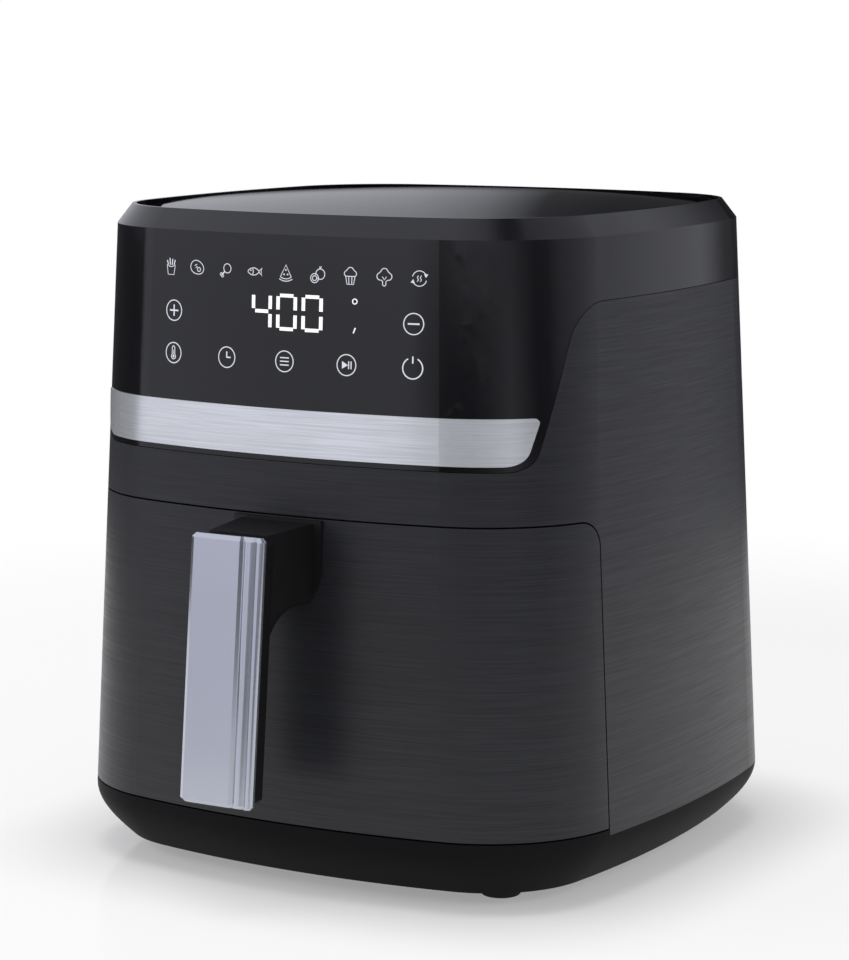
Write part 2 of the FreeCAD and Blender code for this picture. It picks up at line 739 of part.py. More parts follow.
def ceiling_corners():
    """Plan of the bay's ceiling: the liner's plan with a rounded tongue over the front of the tub."""
    half = TUB_FLANGE_X + PASS_GAP - FIT
    front = TUB_FRONT_Y - CEIL_LAP
    back = liner_corners(0)
    tongue = [(-half, FRAME_BACK_Y, 0), (-half, front, TUB_R), (half, front, TUB_R), (half, FRAME_BACK_Y, 0)]
    return [back[0]] + tongue + back[1:]


def make_heat_reflector():
    plate = prism_z(ceiling_corners(), CEIL_Z, CEIL_Z + SHEET)
    plate = plate.cut(rod(0, CAVITY_Y, CEIL_Z - 1, CEIL_Z + 2 * SHEET, DOME_R - SHEET))
    hole = SHAFT_D / 2 + 3.0
    shell = [(hole, DOME_Z, 0), (DOME_R, DOME_Z, DOME_FILLET), (DOME_R, CEIL_Z, 0), (DOME_R - SHEET, CEIL_Z, 0)]
    shell += [(DOME_R - SHEET, DOME_Z - SHEET, DOME_FILLET - SHEET), (hole, DOME_Z - SHEET, 0)]
    reflector = plate.fuse(revolve_z(shell, 0, CAVITY_Y))
    for end in riser_ends():
        reflector = reflector.cut(rod(end.x, end.y, DOME_Z - 5, DOME_Z + 5, ELEMENT_D / 2 + FIT))
    y0 = duct_y() + DUCT_T
    y1 = duct_y() + DUCT_DEPTH - DUCT_T
    half = VENT_WIDTH / 2 - DUCT_T
    reflector = reflector.cut(block(-half, half, y0, y1, CEIL_Z - 1, CEIL_Z + 2 * SHEET))
    probe = Part.makeCylinder(probe_radius() + FIT, 30, V(-DOME_R - 15, CAVITY_Y, probe_z()), V(1, 0, 0))
    reflector = reflector.cut(probe)
    for spot in guard_screw_spots():
        reflector = reflector.cut(rod(spot[0], spot[1], CEIL_Z - 1, CEIL_Z + 2 * SHEET, SCREW_D / 2 + FIT / 4))
    return reflector.removeSplitter()


def guard_screw_spots():
    radius = DOME_R + GUARD_LAP / 2 + 0.5
    angles = [45, 135, 225, 315]
    return [
        (radius * math.cos(math.radians(a)), CAVITY_Y + radius * math.sin(math.radians(a))) for a in angles
    ]


def make_fan_guard():
    z0 = CEIL_Z - SHEET
    outer = DOME_R + GUARD_LAP
    guard = rod(0, CAVITY_Y, z0, CEIL_Z, outer)
    split = (DOME_R - SHEET) / 2
    inner_slots = GUARD_SLOTS // 2
    rows = [(14.0, split - 3.0, inner_slots), (split + 3.0, DOME_R - 6.0, GUARD_SLOTS)]
    for r0, r1, count in rows:
        for step in range(count):
            slot = block(r0, r1, CAVITY_Y - GUARD_SLOT_W / 2, CAVITY_Y + GUARD_SLOT_W / 2, z0 - 1, CEIL_Z + 1)
            guard = guard.cut(turned(slot, 360.0 * step / count, 0, CAVITY_Y))
    for x, y in guard_screw_spots():
        guard = guard.cut(rod(x, y, z0 - 1, CEIL_Z + 1, SCREW_D / 2 + FIT / 4))
    return guard


def make_guard_screws():
    return group([screw_up(x, y, CEIL_Z - SHEET, 5.0) for x, y in guard_screw_spots()])


# Heating

def polar(radius, angle, z):
    a = math.radians(angle)
    return V(radius * math.cos(a), CAVITY_Y + radius * math.sin(a), z)


def arc_about_axis(radius, start, end, z):
    return Part.Arc(polar(radius, start, z), polar(radius, (start + end) / 2, z), polar(radius, end, z)).toShape()


def riser(radius, angle, turn, top):
    """Upright end of the element: a quarter bend from the ring into a straight riser."""
    a = math.radians(angle)
    tangent = V(-math.sin(a), math.cos(a), 0) * turn
    foot = polar(radius, angle, ELEMENT_Z)
    head = foot + tangent * RISER_BEND_R + V(0, 0, RISER_BEND_R)
    bend = foot + tangent * (RISER_BEND_R * math.sin(math.pi / 4))
    bend = bend + V(0, 0, RISER_BEND_R * (1 - math.cos(math.pi / 4)))
    end = V(head.x, head.y, top)
    return [Part.Arc(foot, bend, head).toShape(), Part.makeLine(head, end)], end


def element_path():
    """Outer ring, U-turn and inner ring, with both ends rising side by side."""
    top = DOME_Z + 9.0
    start = 0.0
    end = -ELEMENT_SWEEP
    up_out, end_out = riser(ELEMENT_OUT_R, start, 1, top)
    up_in, end_in = riser(ELEMENT_IN_R, start, 1, top)
    outer = arc_about_axis(ELEMENT_OUT_R, start, end, ELEMENT_Z)
    inner = arc_about_axis(ELEMENT_IN_R, start, end, ELEMENT_Z)
    middle = (ELEMENT_OUT_R + ELEMENT_IN_R) / 2
    half = ELEMENT_PITCH / 2
    a = math.radians(end)
    beyond = polar(middle, end, ELEMENT_Z) + V(math.sin(a), -math.cos(a), 0) * half
    turn = Part.Arc(polar(ELEMENT_OUT_R, end, ELEMENT_Z), beyond, polar(ELEMENT_IN_R, end, ELEMENT_Z)).toShape()
    wire = Part.Wire(Part.__sortEdges__(up_out + [outer, turn, inner] + up_in))
    return wire, end_out, end_in


def make_heating_element():
    wire, end_out, end_in = element_path()
    circle = Part.Wire(Part.makeCircle(ELEMENT_D / 2, end_out, V(0, 0, 1)))
    return wire.makePipeShell([circle], True, False)


def riser_ends():
    wire, end_out, end_in = element_path()
    return [end_out, end_in]


def make_element_clips():
    """Three hanging plates that the two element rings pass through."""
    z1 = DOME_Z - SHEET
    z0 = ELEMENT_Z - ELEMENT_D / 2 - 3.0
    r0 = ELEMENT_IN_R - ELEMENT_D / 2 - 2.0
    r1 = ELEMENT_OUT_R + ELEMENT_D / 2 + 2.0
    clips = []
    for angle in (-75, -150, -225):
        clip = prism_y(rect(r0, r1, z0, z1), -SHEET / 2, SHEET / 2)
        for radius in (ELEMENT_IN_R, ELEMENT_OUT_R):
            clip = clip.cut(rod_y(radius, ELEMENT_Z, -SHEET, SHEET, ELEMENT_D / 2 + FIT))
        clip.translate(V(0, CAVITY_Y, 0))
        clips.append(turned(clip, angle, 0, CAVITY_Y))
    return group(clips)


def make_element_bushes():
    inner = ELEMENT_D / 2 + FIT / 4
    bushes = []
    for end in riser_ends():
        profile = [(inner, DOME_Z, 0), (6.0, DOME_Z, 0), (6.0, DOME_Z + 2.5, 0), (4.6, DOME_Z + 2.5, 0)]
        profile += [(4.6, DOME_Z + 7.0, 0), (inner, DOME_Z + 7.0, 0)]
        bushes.append(revolve_z(profile, end.x, end.y))
    return group(bushes)


def probe_radius():
    return 2.5


def probe_z():
    return CEIL_Z + DOME_HEIGHT / 2


def make_temperature_probe():
    tip = -DOME_R + 9.0
    wall = -DOME_R - FIT
    probe = Part.makeCylinder(probe_radius(), tip - wall + 4.0, V(wall - 4.0, CAVITY_Y, probe_z()), V(1, 0, 0))
    collar = Part.makeCylinder(5.0, 3.0, V(wall - 3.0, CAVITY_Y, probe_z()), V(1, 0, 0))
    tail = Part.makeCylinder(1.8, 4.0, V(wall - 8.0, CAVITY_Y, probe_z()), V(1, 0, 0))
    return probe.fuse(collar).fuse(tail).removeSplitter()


def make_thermal_cutout():
    x = -DOME_R / 2
    disc = revolve_z([(0, DOME_Z, 0), (11, DOME_Z, 0), (11, DOME_Z + 5, 0), (8, DOME_Z + 8, 0), (0, DOME_Z + 8, 0)],
                     x, CAVITY_Y)
    for side in (-1, 1):
        y = CAVITY_Y + side * 4.5
        disc = disc.fuse(block(x - 2.4, x + 2.4, y - 0.4, y + 0.4, DOME_Z + 7, DOME_Z + 11.5))
    return disc


# Motor deck

def pillar_spots():
    radius = DOME_R + PILLAR_OUT
    angles = [PILLAR_ANGLE, 180 - PILLAR_ANGLE, 180 + PILLAR_ANGLE, 360 - PILLAR_ANGLE]
    return [(polar(radius, a, 0).x, polar(radius, a, 0).y) for a in angles]


def grommet_spots():
    x = BRACKET_LEG_X + BRACKET_FOOT / 2
    y = BRACKET_DEPTH / 2 - GROMMET_D / 2
    return [(sx * x, CAVITY_Y + sy * y) for sx in (-1, 1) for sy in (-1, 1)]


def make_deck_pillars():
    pillars = []
    for x, y in pillar_spots():
        pillar = rod(x, y, CEIL_Z + SHEET, DECK_Z, PILLAR_D / 2)
        pillars.append(pillar)
    return group(pillars)


def power_corners():
    y0 = CAVITY_Y - POWER_LENGTH / 2
    return POWER_X, POWER_X + POWER_WIDTH, y0, y0 + POWER_LENGTH


def power_posts():
    x0, x1, y0, y1 = power_corners()
    return [(x, y) for x in (x0 + 4, x1 - 4) for y in (y0 + 4, y1 - 4)]


def make_mid_deck():
    half = LINER_X
    y1 = duct_y() - 2.0
    y0 = BOARD_Y + BOARD_T + 6.0
    deck = prism_z(rect(-half, half, y0, y1, CORNER_R / 2), DECK_Z, DECK_TOP)
    deck = deck.cut(rod(0, CAVITY_Y, DECK_Z - 1, DECK_TOP + 1, SHAFT_D / 2 + 6.0))
    for step in range(8):
        slot = block(20, COOL_FAN_R - 4, CAVITY_Y - 3, CAVITY_Y + 3, DECK_Z - 1, DECK_TOP + 1)
        deck = deck.cut(turned(slot, 45.0 * step, 0, CAVITY_Y))
    for x, y in power_posts():
        deck = deck.fuse(rod(x, y, DECK_TOP, DECK_TOP + POWER_RISE, 3.5))
    for x, y in grommet_spots():
        deck = deck.cut(rod(x, y, DECK_Z - 1, DECK_TOP + 1, SCREW_D / 2 + FIT / 4))
    return deck.removeSplitter()


def make_grommets():
    hole = SCREW_D / 2 + FIT / 4
    return group([ring(x, y, DECK_TOP, FOOT_PLATE_Z, GROMMET_D / 2, hole) for x, y in grommet_spots()])


def make_bracket_screws():
    z = FOOT_PLATE_Z + BRACKET_T
    length = z - DECK_Z
    return group([screw_down(x, y, z, length) for x, y in grommet_spots()])


def bolt_spots():
    x = STATOR_X / 2 - 5.0
    y = STATOR_Y / 2 - 5.0
    return [(sx * x, CAVITY_Y + sy * y) for sx in (-1, 1) for sy in (-1, 1)]


def make_motor_bracket():
    """Folded sheet bridge: feet on the grommets, legs past the fan, plate under the motor."""
    leg = BRACKET_LEG_X
    foot = leg + BRACKET_FOOT
    z0 = FOOT_PLATE_Z
    z1 = BRIDGE_PLATE_Z + BRACKET_T
    t = BRACKET_T
    fold = [(-foot, z0, 0), (-leg, z0, t), (-leg, z1 - t, 1.0), (leg, z1 - t, 1.0), (leg, z0, t), (foot, z0, 0)]
    fold += [(foot, z0 + t, 0), (leg + t, z0 + t, 1.0), (leg + t, z1, 2 * t), (-leg - t, z1, 2 * t)]
    fold += [(-leg - t, z0 + t, 1.0), (-foot, z0 + t, 0)]
    half = BRACKET_DEPTH / 2
    bracket = prism_y(fold, CAVITY_Y - half, CAVITY_Y + half)
    plate_half = STATOR_Y / 2
    wide = block(-STATOR_X / 2, STATOR_X / 2, CAVITY_Y - plate_half, CAVITY_Y + plate_half, z1 - t, z1)
    bracket = bracket.fuse(wide)
    for x, y in bolt_spots():
        bracket = bracket.fuse(rod(x, y, z1, STATOR_Z, 4.0))
    for x, y in bolt_spots():
        bracket = bracket.cut(rod(x, y, z1 - 2 * t, STATOR_Z + 1, SCREW_D / 2 + FIT / 4))
    bracket = bracket.cut(rod(0, CAVITY_Y, z1 - 2 * t, z1 + 1, BUSH_D / 2))
    for x, y in grommet_spots():
        bracket = bracket.cut(rod(x, y, z0 - 1, z0 + 2 * t, SCREW_D / 2 + FIT / 4))
    return bracket.removeSplitter()


def stator_window():
    """X range of the winding window beside the bore."""
    return ROTOR_D / 2 + AIR_GAP + 4.0, STATOR_X / 2 - 10.0


def make_motor_stator():
    half_x = STATOR_X / 2
    half_y = STATOR_Y / 2
    stack = prism_z(rect(-half_x, half_x, CAVITY_Y - half_y, CAVITY_Y + half_y, 3.0), STATOR_Z, STATOR_Z + STATOR_H)
    stack = stack.cut(rod(0, CAVITY_Y, STATOR_Z - 1, STATOR_Z + STATOR_H + 1, ROTOR_D / 2 + AIR_GAP))
    x0, x1 = stator_window()
    depth = half_y - 10.0
    for side in (-1, 1):
        low = min(side * x0, side * x1)
        high = max(side * x0, side * x1)
        window = block(low, high, CAVITY_Y - depth, CAVITY_Y + depth, STATOR_Z - 1, STATOR_Z + STATOR_H + 1)
        stack = stack.cut(window)
    for x, y in bolt_spots():
        stack = stack.cut(rod(x, y, STATOR_Z - 1, STATOR_Z + STATOR_H + 1, SCREW_D / 2 + FIT / 4))
    return stack


def make_motor_coils():
    x0, x1 = stator_window()
    depth = STATOR_Y / 2 - 10.0 - 1.0
    z0 = STATOR_Z - COIL_OVER
    z1 = STATOR_Z + STATOR_H + COIL_OVER
    outer = prism_y(rect(x0 + 0.5, STATOR_X / 2 + (x1 - x0) - 0.5, z0, z1, 3.0), CAVITY_Y - depth, CAVITY_Y + depth)
    limb = block(x1 - FIT, STATOR_X / 2 + FIT, CAVITY_Y - FAR, CAVITY_Y + FAR, STATOR_Z - FIT, STATOR_Z + STATOR_H + FIT)
    coil = outer.cut(limb)
    return group([coil, mirrored_x(coil)])


def make_motor_bolts():
    z = STATOR_Z + STATOR_H
    length = z - BRIDGE_PLATE_Z
    legs = []
    for x, y in bolt_spots():
        legs.append(screw_down(x, y, z + BRACKET_T, length + BRACKET_T))
    return group(legs)


def make_bearing_bridge():
    """Strap over the rotor that holds the upper bush."""
    z0 = STATOR_Z + STATOR_H
    z1 = BRIDGE_Z + BRACKET_T
    t = BRACKET_T
    half = STATOR_Y / 2
    leg = half - 10.0
    fold = [(-half, z0, 0), (-leg, z0, t), (-leg + 2, z1 - t, 1.0), (leg - 2, z1 - t, 1.0), (leg, z0, t), (half, z0, 0)]
    fold += [(half, z0 + t, 0), (leg + t, z0 + t, 1.0), (leg + t - 2, z1, 2 * t), (-leg - t + 2, z1, 2 * t)]
    fold += [(-leg - t, z0 + t, 1.0), (-half, z0 + t, 0)]
    strap = [(CAVITY_Y + u, v, r) for u, v, r in fold]
    bridge = prism_x(strap, -BUSH_D / 2 - 2, BUSH_D / 2 + 2)
    feet = block(-STATOR_X / 2, STATOR_X / 2, CAVITY_Y - half, CAVITY_Y + half, z0, z0 + t)
    feet = feet.cut(block(-FAR, FAR, CAVITY_Y - leg, CAVITY_Y + leg, z0 - 1, z0 + t + 1))
    bridge = bridge.fuse(feet)
    bridge = bridge.cut(rod(0, CAVITY_Y, z1 - 2 * t, z1 + 1, BUSH_D / 2))
    for x, y in bolt_spots():
        bridge = bridge.cut(rod(x, y, z0 - 1, z0 + 2 * t, SCREW_D / 2 + FIT / 4))
    return bridge.removeSplitter()


def make_motor_bushes():
    bore = SHAFT_D / 2 + RUN_FIT
    bushes = []
    for z in (BRIDGE_PLATE_Z, BRIDGE_Z):
        middle = z + BRACKET_T / 2
        bushes.append(ring(0, CAVITY_Y, middle - BUSH_H / 2, middle + BUSH_H / 2, BUSH_D / 2, bore))
    return group(bushes)


# Turning parts

def hot_fan_z():
    return CEIL_Z + HOT_FAN_RISE


def shaft_top():
    return BRIDGE_Z + BRACKET_T / 2 + BUSH_H / 2 + 3.0


def make_fan_shaft():
    z0 = hot_fan_z() - 12.0
    shaft = rod(0, CAVITY_Y, z0, shaft_top(), SHAFT_D / 2)
    return shaft.makeChamfer(0.6, [e for e in shaft.Edges if len(e.Vertexes) == 1])


def make_motor_rotor():
    z0 = STATOR_Z + 0.5
    z1 = STATOR_Z + STATOR_H - 0.5
    rotor = rod(0, CAVITY_Y, z0, z1, ROTOR_D / 2)
    rotor = rotor.fuse(rod(0, CAVITY_Y, z1, z1 + 2.0, ROTOR_D / 2 - 2.0))
    rotor = rotor.fuse(rod(0, CAVITY_Y, z0 - 2.0, z0, ROTOR_D / 2 - 2.0))
    return rotor.cut(rod(0, CAVITY_Y, z0 - 5, z1 + 5, SHAFT_D / 2)).removeSplitter()


def make_hot_air_fan():
    z = hot_fan_z()
    fan = rod(0, CAVITY_Y, z, z + SHEET, HOT_FAN_R)
    fan = fan.fuse(rod(0, CAVITY_Y, z - 5.0, z + SHEET + 3.0, SHAFT_D / 2 + 4.0))
    r0 = HOT_FAN_R * 0.5
    for step in range(HOT_BLADES):
        profile = [(r0, z - HOT_BLADE_H * 0.6, 3.0), (HOT_FAN_R - 1.0, z - HOT_BLADE_H, 3.0)]
        profile += [(HOT_FAN_R - 1.0, z + 0.1, 0), (r0 - 4.0, z + 0.1, 0)]
        blade = prism_y(profile, -SHEET / 2, SHEET / 2)
        blade.rotate(V((r0 + HOT_FAN_R) / 2, 0, z), V(0, 0, 1), 18.0)
        blade.translate(V(0, CAVITY_Y, 0))
        blade = blade.common(rod(0, CAVITY_Y, z - FAR, z + FAR, HOT_FAN_R))
        fan = fan.fuse(turned(blade, 360.0 * step / HOT_BLADES, 0, CAVITY_Y))
    return fan.cut(rod(0, CAVITY_Y, z - FAR, z + FAR, SHAFT_D / 2)).removeSplitter()


def make_cooling_fan():
    z0 = COOL_FAN_Z
    z1 = COOL_FAN_Z + COOL_FAN_H
    hub = SHAFT_D / 2 + 5.0
    fan = rod(0, CAVITY_Y, z0, z1, hub)
    fan = fan.fuse(rod(0, CAVITY_Y, z0, z0 + SHEET, COOL_FAN_R * 0.6))
    for step in range(COOL_BLADES):
        profile = [(hub - 1.0, z0, 0), (COOL_FAN_R, z0, 2.0), (COOL_FAN_R, z1, 4.0), (hub - 1.0, z1, 0)]
        blade = prism_y(profile, -SHEET / 2, SHEET / 2)
        blade.translate(V(0, CAVITY_Y, 0))
        fan = fan.fuse(turned(blade, 360.0 * step / COOL_BLADES, 0, CAVITY_Y))
    return fan.cut(rod(0, CAVITY_Y, z0 - 1, z1 + 1, SHAFT_D / 2)).removeSplitter()


def make_fan_nuts():
    z = hot_fan_z() - 5.0
    nuts = []
    for low, high in ((z - 5.0, z), (COOL_FAN_Z - 3.0, COOL_FAN_Z)):
        hexagon = [(7.0 * math.cos(math.radians(60 * i)), CAVITY_Y + 7.0 * math.sin(math.radians(60 * i)), 0)
                   for i in range(6)]
        nuts.append(prism_z(hexagon, low, high).cut(rod(0, CAVITY_Y, low - 1, high + 1, SHAFT_D / 2)))
    return group(nuts)


# Back outlet

def make_exhaust_duct():
    """Elbow from the slot behind the dome up to the grille at the back."""
    y0 = duct_y()
    y1 = y0 + DUCT_DEPTH
    zb = CEIL_Z + SHEET
    half_h = VENT_HEIGHT / 2
    t = DUCT_T

    def elbow(s):
        corners = [(y0 + s, zb - s, 0), (y0 + s, VENT_Z + half_h - s, 2 * DUCT_DEPTH - s), (FAR, VENT_Z + half_h - s, 0)]
        corners += [(FAR, VENT_Z - half_h + s, 0), (y1 - s, VENT_Z - half_h + s, DUCT_DEPTH / 2 + s), (y1 - s, zb - s, 0)]
        return prism_x(corners, -VENT_WIDTH / 2 + s, VENT_WIDTH / 2 - s)

    duct = elbow(0).cut(elbow(t))
    inside = body(BELT_Z, CREASE_Z, WALL + FIT / 2 + DUCT_T + FIT)
    return duct.common(inside)


# Electronics

def make_control_board():
    half = BOARD_WIDTH / 2
    z0 = PANEL_Z + BOARD_MARGIN
    z1 = CREASE_Z - BOARD_MARGIN
    board = prism_y(rect(-half, half, z0, z1, 3.0), BOARD_Y, BOARD_Y + BOARD_T)
    for x, z in board_posts():
        board = board.cut(rod_y(x, z, BOARD_Y - 1, BOARD_Y + BOARD_T + 1, SCREW_D / 2 + FIT / 4))
    return board


def make_board_screws():
    screws = []
    for x, z in board_posts():
        y = BOARD_Y + BOARD_T
        head = rod_y(x, z, y, y + SCREW_HEAD_H, SCREW_HEAD_D / 2 - 1.0)
        screws.append(head.fuse(rod_y(x, z, y - BOARD_T - 5.0, y, SCREW_D / 2)).removeSplitter())
    return group(screws)


def display_z():
    return PANEL_Z + DISPLAY_RISE


def make_display_module():
    half_w = DISPLAY_WIDTH / 2
    half_h = DISPLAY_HEIGHT / 2
    z = display_z()
    face = front_surface(0, z + half_h, WALL) + 1.0
    return prism_y(rect(-half_w, half_w, z - half_h, z + half_h, 1.5), face, BOARD_Y).common(
        body(PANEL_Z, CREASE_Z, WALL + FIT))


def key_spots():
    spots = [(KEY_PITCH * i, PANEL_Z + KEY_TOP_RISE) for i in range(-4, 5)]
    spots += [(KEY_SIDE_X * s, PANEL_Z + KEY_MID_RISE) for s in (-1, 1)]
    spots += [(KEY_SIDE_X / 2 * i, PANEL_Z + KEY_LOW_RISE) for i in range(-2, 3)]
    return spots


def make_touch_pads():
    pads = []
    for x, z in key_spots():
        pad = rod_y(x, z, front_surface(x, z, 0), BOARD_Y, KEY_D / 2)
        pads.append(pad.common(body(PANEL_Z, CREASE_Z, WALL + FIT)).Solids[0])
    return group(pads)


def make_power_board():
    x0, x1, y0, y1 = power_corners()
    z = DECK_TOP + POWER_RISE
    return prism_z(rect(x0, x1, y0, y1, 2.0), z, z + BOARD_T)


def loom_z():
    return DECK_TOP + POWER_RISE + BOARD_T + 8.0


def make_power_components():
    x0, x1, y0, y1 = power_corners()
    z = DECK_TOP + POWER_RISE + BOARD_T
    middle = (x0 + x1) / 2
    bay = (x1 - middle) / 2
    can_x = middle + bay - 1.0
    parts = []
    parts.append(prism_z(rect(x0 + 6, x1 - 6, y0 + 34, y0 + 62, 2.0), z, z + 24))
    parts.append(block(x0 + 4, middle, y0 + 68, y0 + 88, z, z + 15))
    parts.append(rod(can_x, y0 + 74, z, z + 20, bay - 4.0))
    parts.append(rod(can_x, y0 + 90, z, z + 16, bay - 5.0))
    parts.append(block(x0 + 8, x1 - 8, y0 + 10, y0 + 22, z, z + 13))
    return group(parts)


def make_wire_loom():
    """Lead from the power board to the control board: straight runs joined by tangent arcs."""
    x0, x1, y0, y1 = power_corners()
    z = loom_z()
    start_x = (x0 + x1) / 2
    end_x = BOARD_WIDTH / 2 - 22.0
    start_y = y0 + 10
    end_y = BOARD_Y + BOARD_T
    bend_y = (start_y + end_y) / 2
    radius = min(9.0, (start_y - end_y) / 2 - 4.0, (start_x - end_x) / 2)
    a = V(start_x, start_y, z)
    b = V(start_x, bend_y + radius, z)
    c = V(start_x - radius, bend_y, z)
    d = V(end_x + radius, bend_y, z)
    e = V(end_x, bend_y - radius, z)
    f = V(end_x, end_y, z)
    m = radius * (1 - math.sqrt(0.5))
    edges = [Part.makeLine(a, b)]
    edges.append(Part.Arc(b, V(start_x - m, bend_y + m, z), c).toShape())
    if (c - d).Length > 1e-6:
        edges.append(Part.makeLine(c, d))
    edges.append(Part.Arc(d, V(end_x + m, bend_y - m, z), e).toShape())
    edges.append(Part.makeLine(e, f))
    circle = Part.Wire(Part.makeCircle(LOOM_D / 2, a, V(0, -1, 0)))
    return Part.Wire(edges).makePipeShell([circle], True, False)


def switch_z():
    return FLANGE_Z - SWITCH_DROP


def make_drawer_switch():
    x0 = LINER_X
    y0 = FRAME_BACK_Y
    z = switch_z()
    case = prism_x(rect(y0, y0 + SWITCH_D, z - SWITCH_H / 2, z + SWITCH_H / 2, 1.0), x0, x0 + SWITCH_T)
    bore = rod_y(x0 + SWITCH_T / 2, z, y0 - 1, y0 + SWITCH_D / 2, PLUNGER_D / 2 + 0.05)
    return case.cut(bore)


def make_switch_plunger():
    x = LINER_X + SWITCH_T / 2
    tip = DRAWER_EDGE_Y + SLIDE_GAP
    back = FRAME_BACK_Y + SWITCH_D / 2 - PLUNGER_TRAVEL - SLIDE_GAP
    pin = rod_y(x, switch_z(), tip, back, PLUNGER_D / 2)
    return pin.makeFillet(0.5, [e for e in pin.Edges if e.BoundBox.YMax < tip + 0.01])


# Drawer

def make_drawer_front():
    front = body(DRAWER_Z0, DRAWER_Z1, 0).cut(body(DRAWER_Z0 - 1, DRAWER_Z1 + 1, WALL))
    front = front.common(drawer_split(DRAWER_EDGE_Y, DRAWER_Z0, DRAWER_Z1, DRAWER_CORNER_R))
    for x, z in handle_screw_spots():
        front = front.cut(rod_y(x, z, -FAR, 0, SCREW_D / 2 + FIT))
    return front


def handle_screw_spots():
    z = DRAWER_Z1 - HANDLE_DROP - ARM_HEIGHT / 2
    return [(-HANDLE_SCREW_X, z), (HANDLE_SCREW_X, z)]


def tub_corners(inset):
    """Plan of the tub at its rim, moved in by inset."""
    half = TUB_X - inset
    radius = TUB_R - inset
    return rect(-half, half, TUB_FRONT_Y + inset, TUB_BACK_Y - inset, radius)


def tub_solid(inset, z0, z1):
    """Drawn pan: drafted walls and a rounded foot, moved in by inset."""
    drop = math.tan(math.radians(TUB_DRAFT))
    knee = z0 + TUB_FOOT_R - inset
    walls = []
    for z in (z1, knee):
        walls.append(outline(tub_corners(inset + (TUB_RIM_Z - z) * drop), place_xy(z)))
    pan = Part.makeLoft(walls, True, True)
    foot = []
    for step in range(4):
        a = math.radians(30.0 * step)
        r = TUB_FOOT_R - inset
        draw_in = inset + (TUB_RIM_Z - knee) * drop + r * (1 - math.cos(a))
        foot.append(outline(tub_corners(draw_in), place_xy(knee - r * math.sin(a))))
    return pan.fuse(Part.makeLoft(foot, True, False))


def make_food_tub():
    tub = tub_solid(0, TUB_Z, TUB_RIM_Z)
    flange = prism_z(tub_corners(-TUB_FLANGE), FLANGE_Z, TUB_RIM_Z)
    tub = tub.fuse(flange)
    tub = tub.cut(tub_solid(SHEET, TUB_Z + SHEET, TUB_RIM_Z + 1))
    for x, z in handle_screw_spots():
        tub = tub.cut(rod_y(x, z, -FAR, CAVITY_Y, SCREW_D / 2 + FIT))
    for x, y in tub_screw_spots():
        tub = tub.cut(rod(x, y, FLANGE_Z - 1, TUB_RIM_Z + 1, SCREW_D / 2 + FIT / 4))
    return tub.removeSplitter()


def tub_screw_spots():
    y = TUB_FRONT_Y - TUB_FLANGE / 2
    x = TUB_X - TUB_R
    return [(-x, y), (x, y)]


def make_tub_screws():
    screws = []
    for x, y in tub_screw_spots():
        head = rod(x, y, TUB_RIM_Z, TUB_RIM_Z + SCREW_HEAD_H - 0.4, SCREW_HEAD_D / 2 - 0.6)
        screws.append(head.fuse(rod(x, y, FLANGE_Z - 6.0, TUB_RIM_Z, SCREW_D / 2)).removeSplitter())
    return group(screws)


def make_drawer_inner():
    """Hollow back moulding that closes the drawer front round the tub."""
    z0 = DRAWER_Z0 + INNER_T
    z1 = FLANGE_Z
    y1 = DRAWER_EDGE_Y
    t = INNER_T
    around = [(u, v if v < 0 else FAR, r if v < 0 else 0) for u, v, r in tub_corners(-INNER_CLEAR)]
    wider = [(u, v if v < 0 else FAR, r if v < 0 else 0) for u, v, r in tub_corners(-INNER_CLEAR - t)]
    outer = body(z0, z1, WALL + FIT).common(block(-FAR, FAR, -FAR, y1, 0, FAR))
    outer = outer.cut(prism_z(around, 0, FAR))
    hollow = body(z0 + t, z1 - t, WALL - 1.0).common(block(-FAR, FAR, -FAR, y1 - t, 0, FAR))
    hollow = hollow.cut(prism_z(wider, 0, FAR))
    inner = outer.cut(hollow)
    inner = inner.common(drawer_split(y1, 0, DRAWER_Z1, DRAWER_CORNER_R))
    for x, y in tub_screw_spots():
        boss = rod(x, y, FLANGE_Z - 9.0, FLANGE_Z - t / 2, SCREW_D / 2 + 1.6)
        inner = inner.fuse(boss.cut(prism_z(around, 0, FAR)))
    for x, y in tub_screw_spots():
        inner = inner.cut(rod(x, y, FLANGE_Z - 7.0, FLANGE_Z + 1, SCREW_D / 2 + FIT / 4))
    for x, z in handle_screw_spots():
        inner = inner.cut(rod_y(x, z, -FAR, 0, SCREW_D / 2 + FIT))
    return inner.removeSplitter()


# Handle

def grip_levels():
    top = DRAWER_Z1 - HANDLE_DROP
    return top, top - HANDLE_LENGTH


def grip_front_y(z):
    top = grip_levels()[0]
    lean = math.tan(math.radians(GRIP_LEAN))
    return front_surface(0, top, 0) - HANDLE_REACH - (top - z) * lean


def leaning(corners, z1, z0):
    """Plan outline at height z1 swept down to z0 along the grip's lean."""
    wire = outline(corners, place_xy(z1))
    return Part.Face(wire).extrude(V(0, grip_front_y(z0) - grip_front_y(z1), z0 - z1))


def grip_corners(z, inset, depth):
    half = GRIP_WIDTH / 2 - inset
    y0 = grip_front_y(z) + inset
    y1 = grip_front_y(z) + depth
    r = GRIP_CORNER_R - inset
    return [(-half, y0, r), (half, y0, r), (half, y1, 0), (-half, y1, 0)]


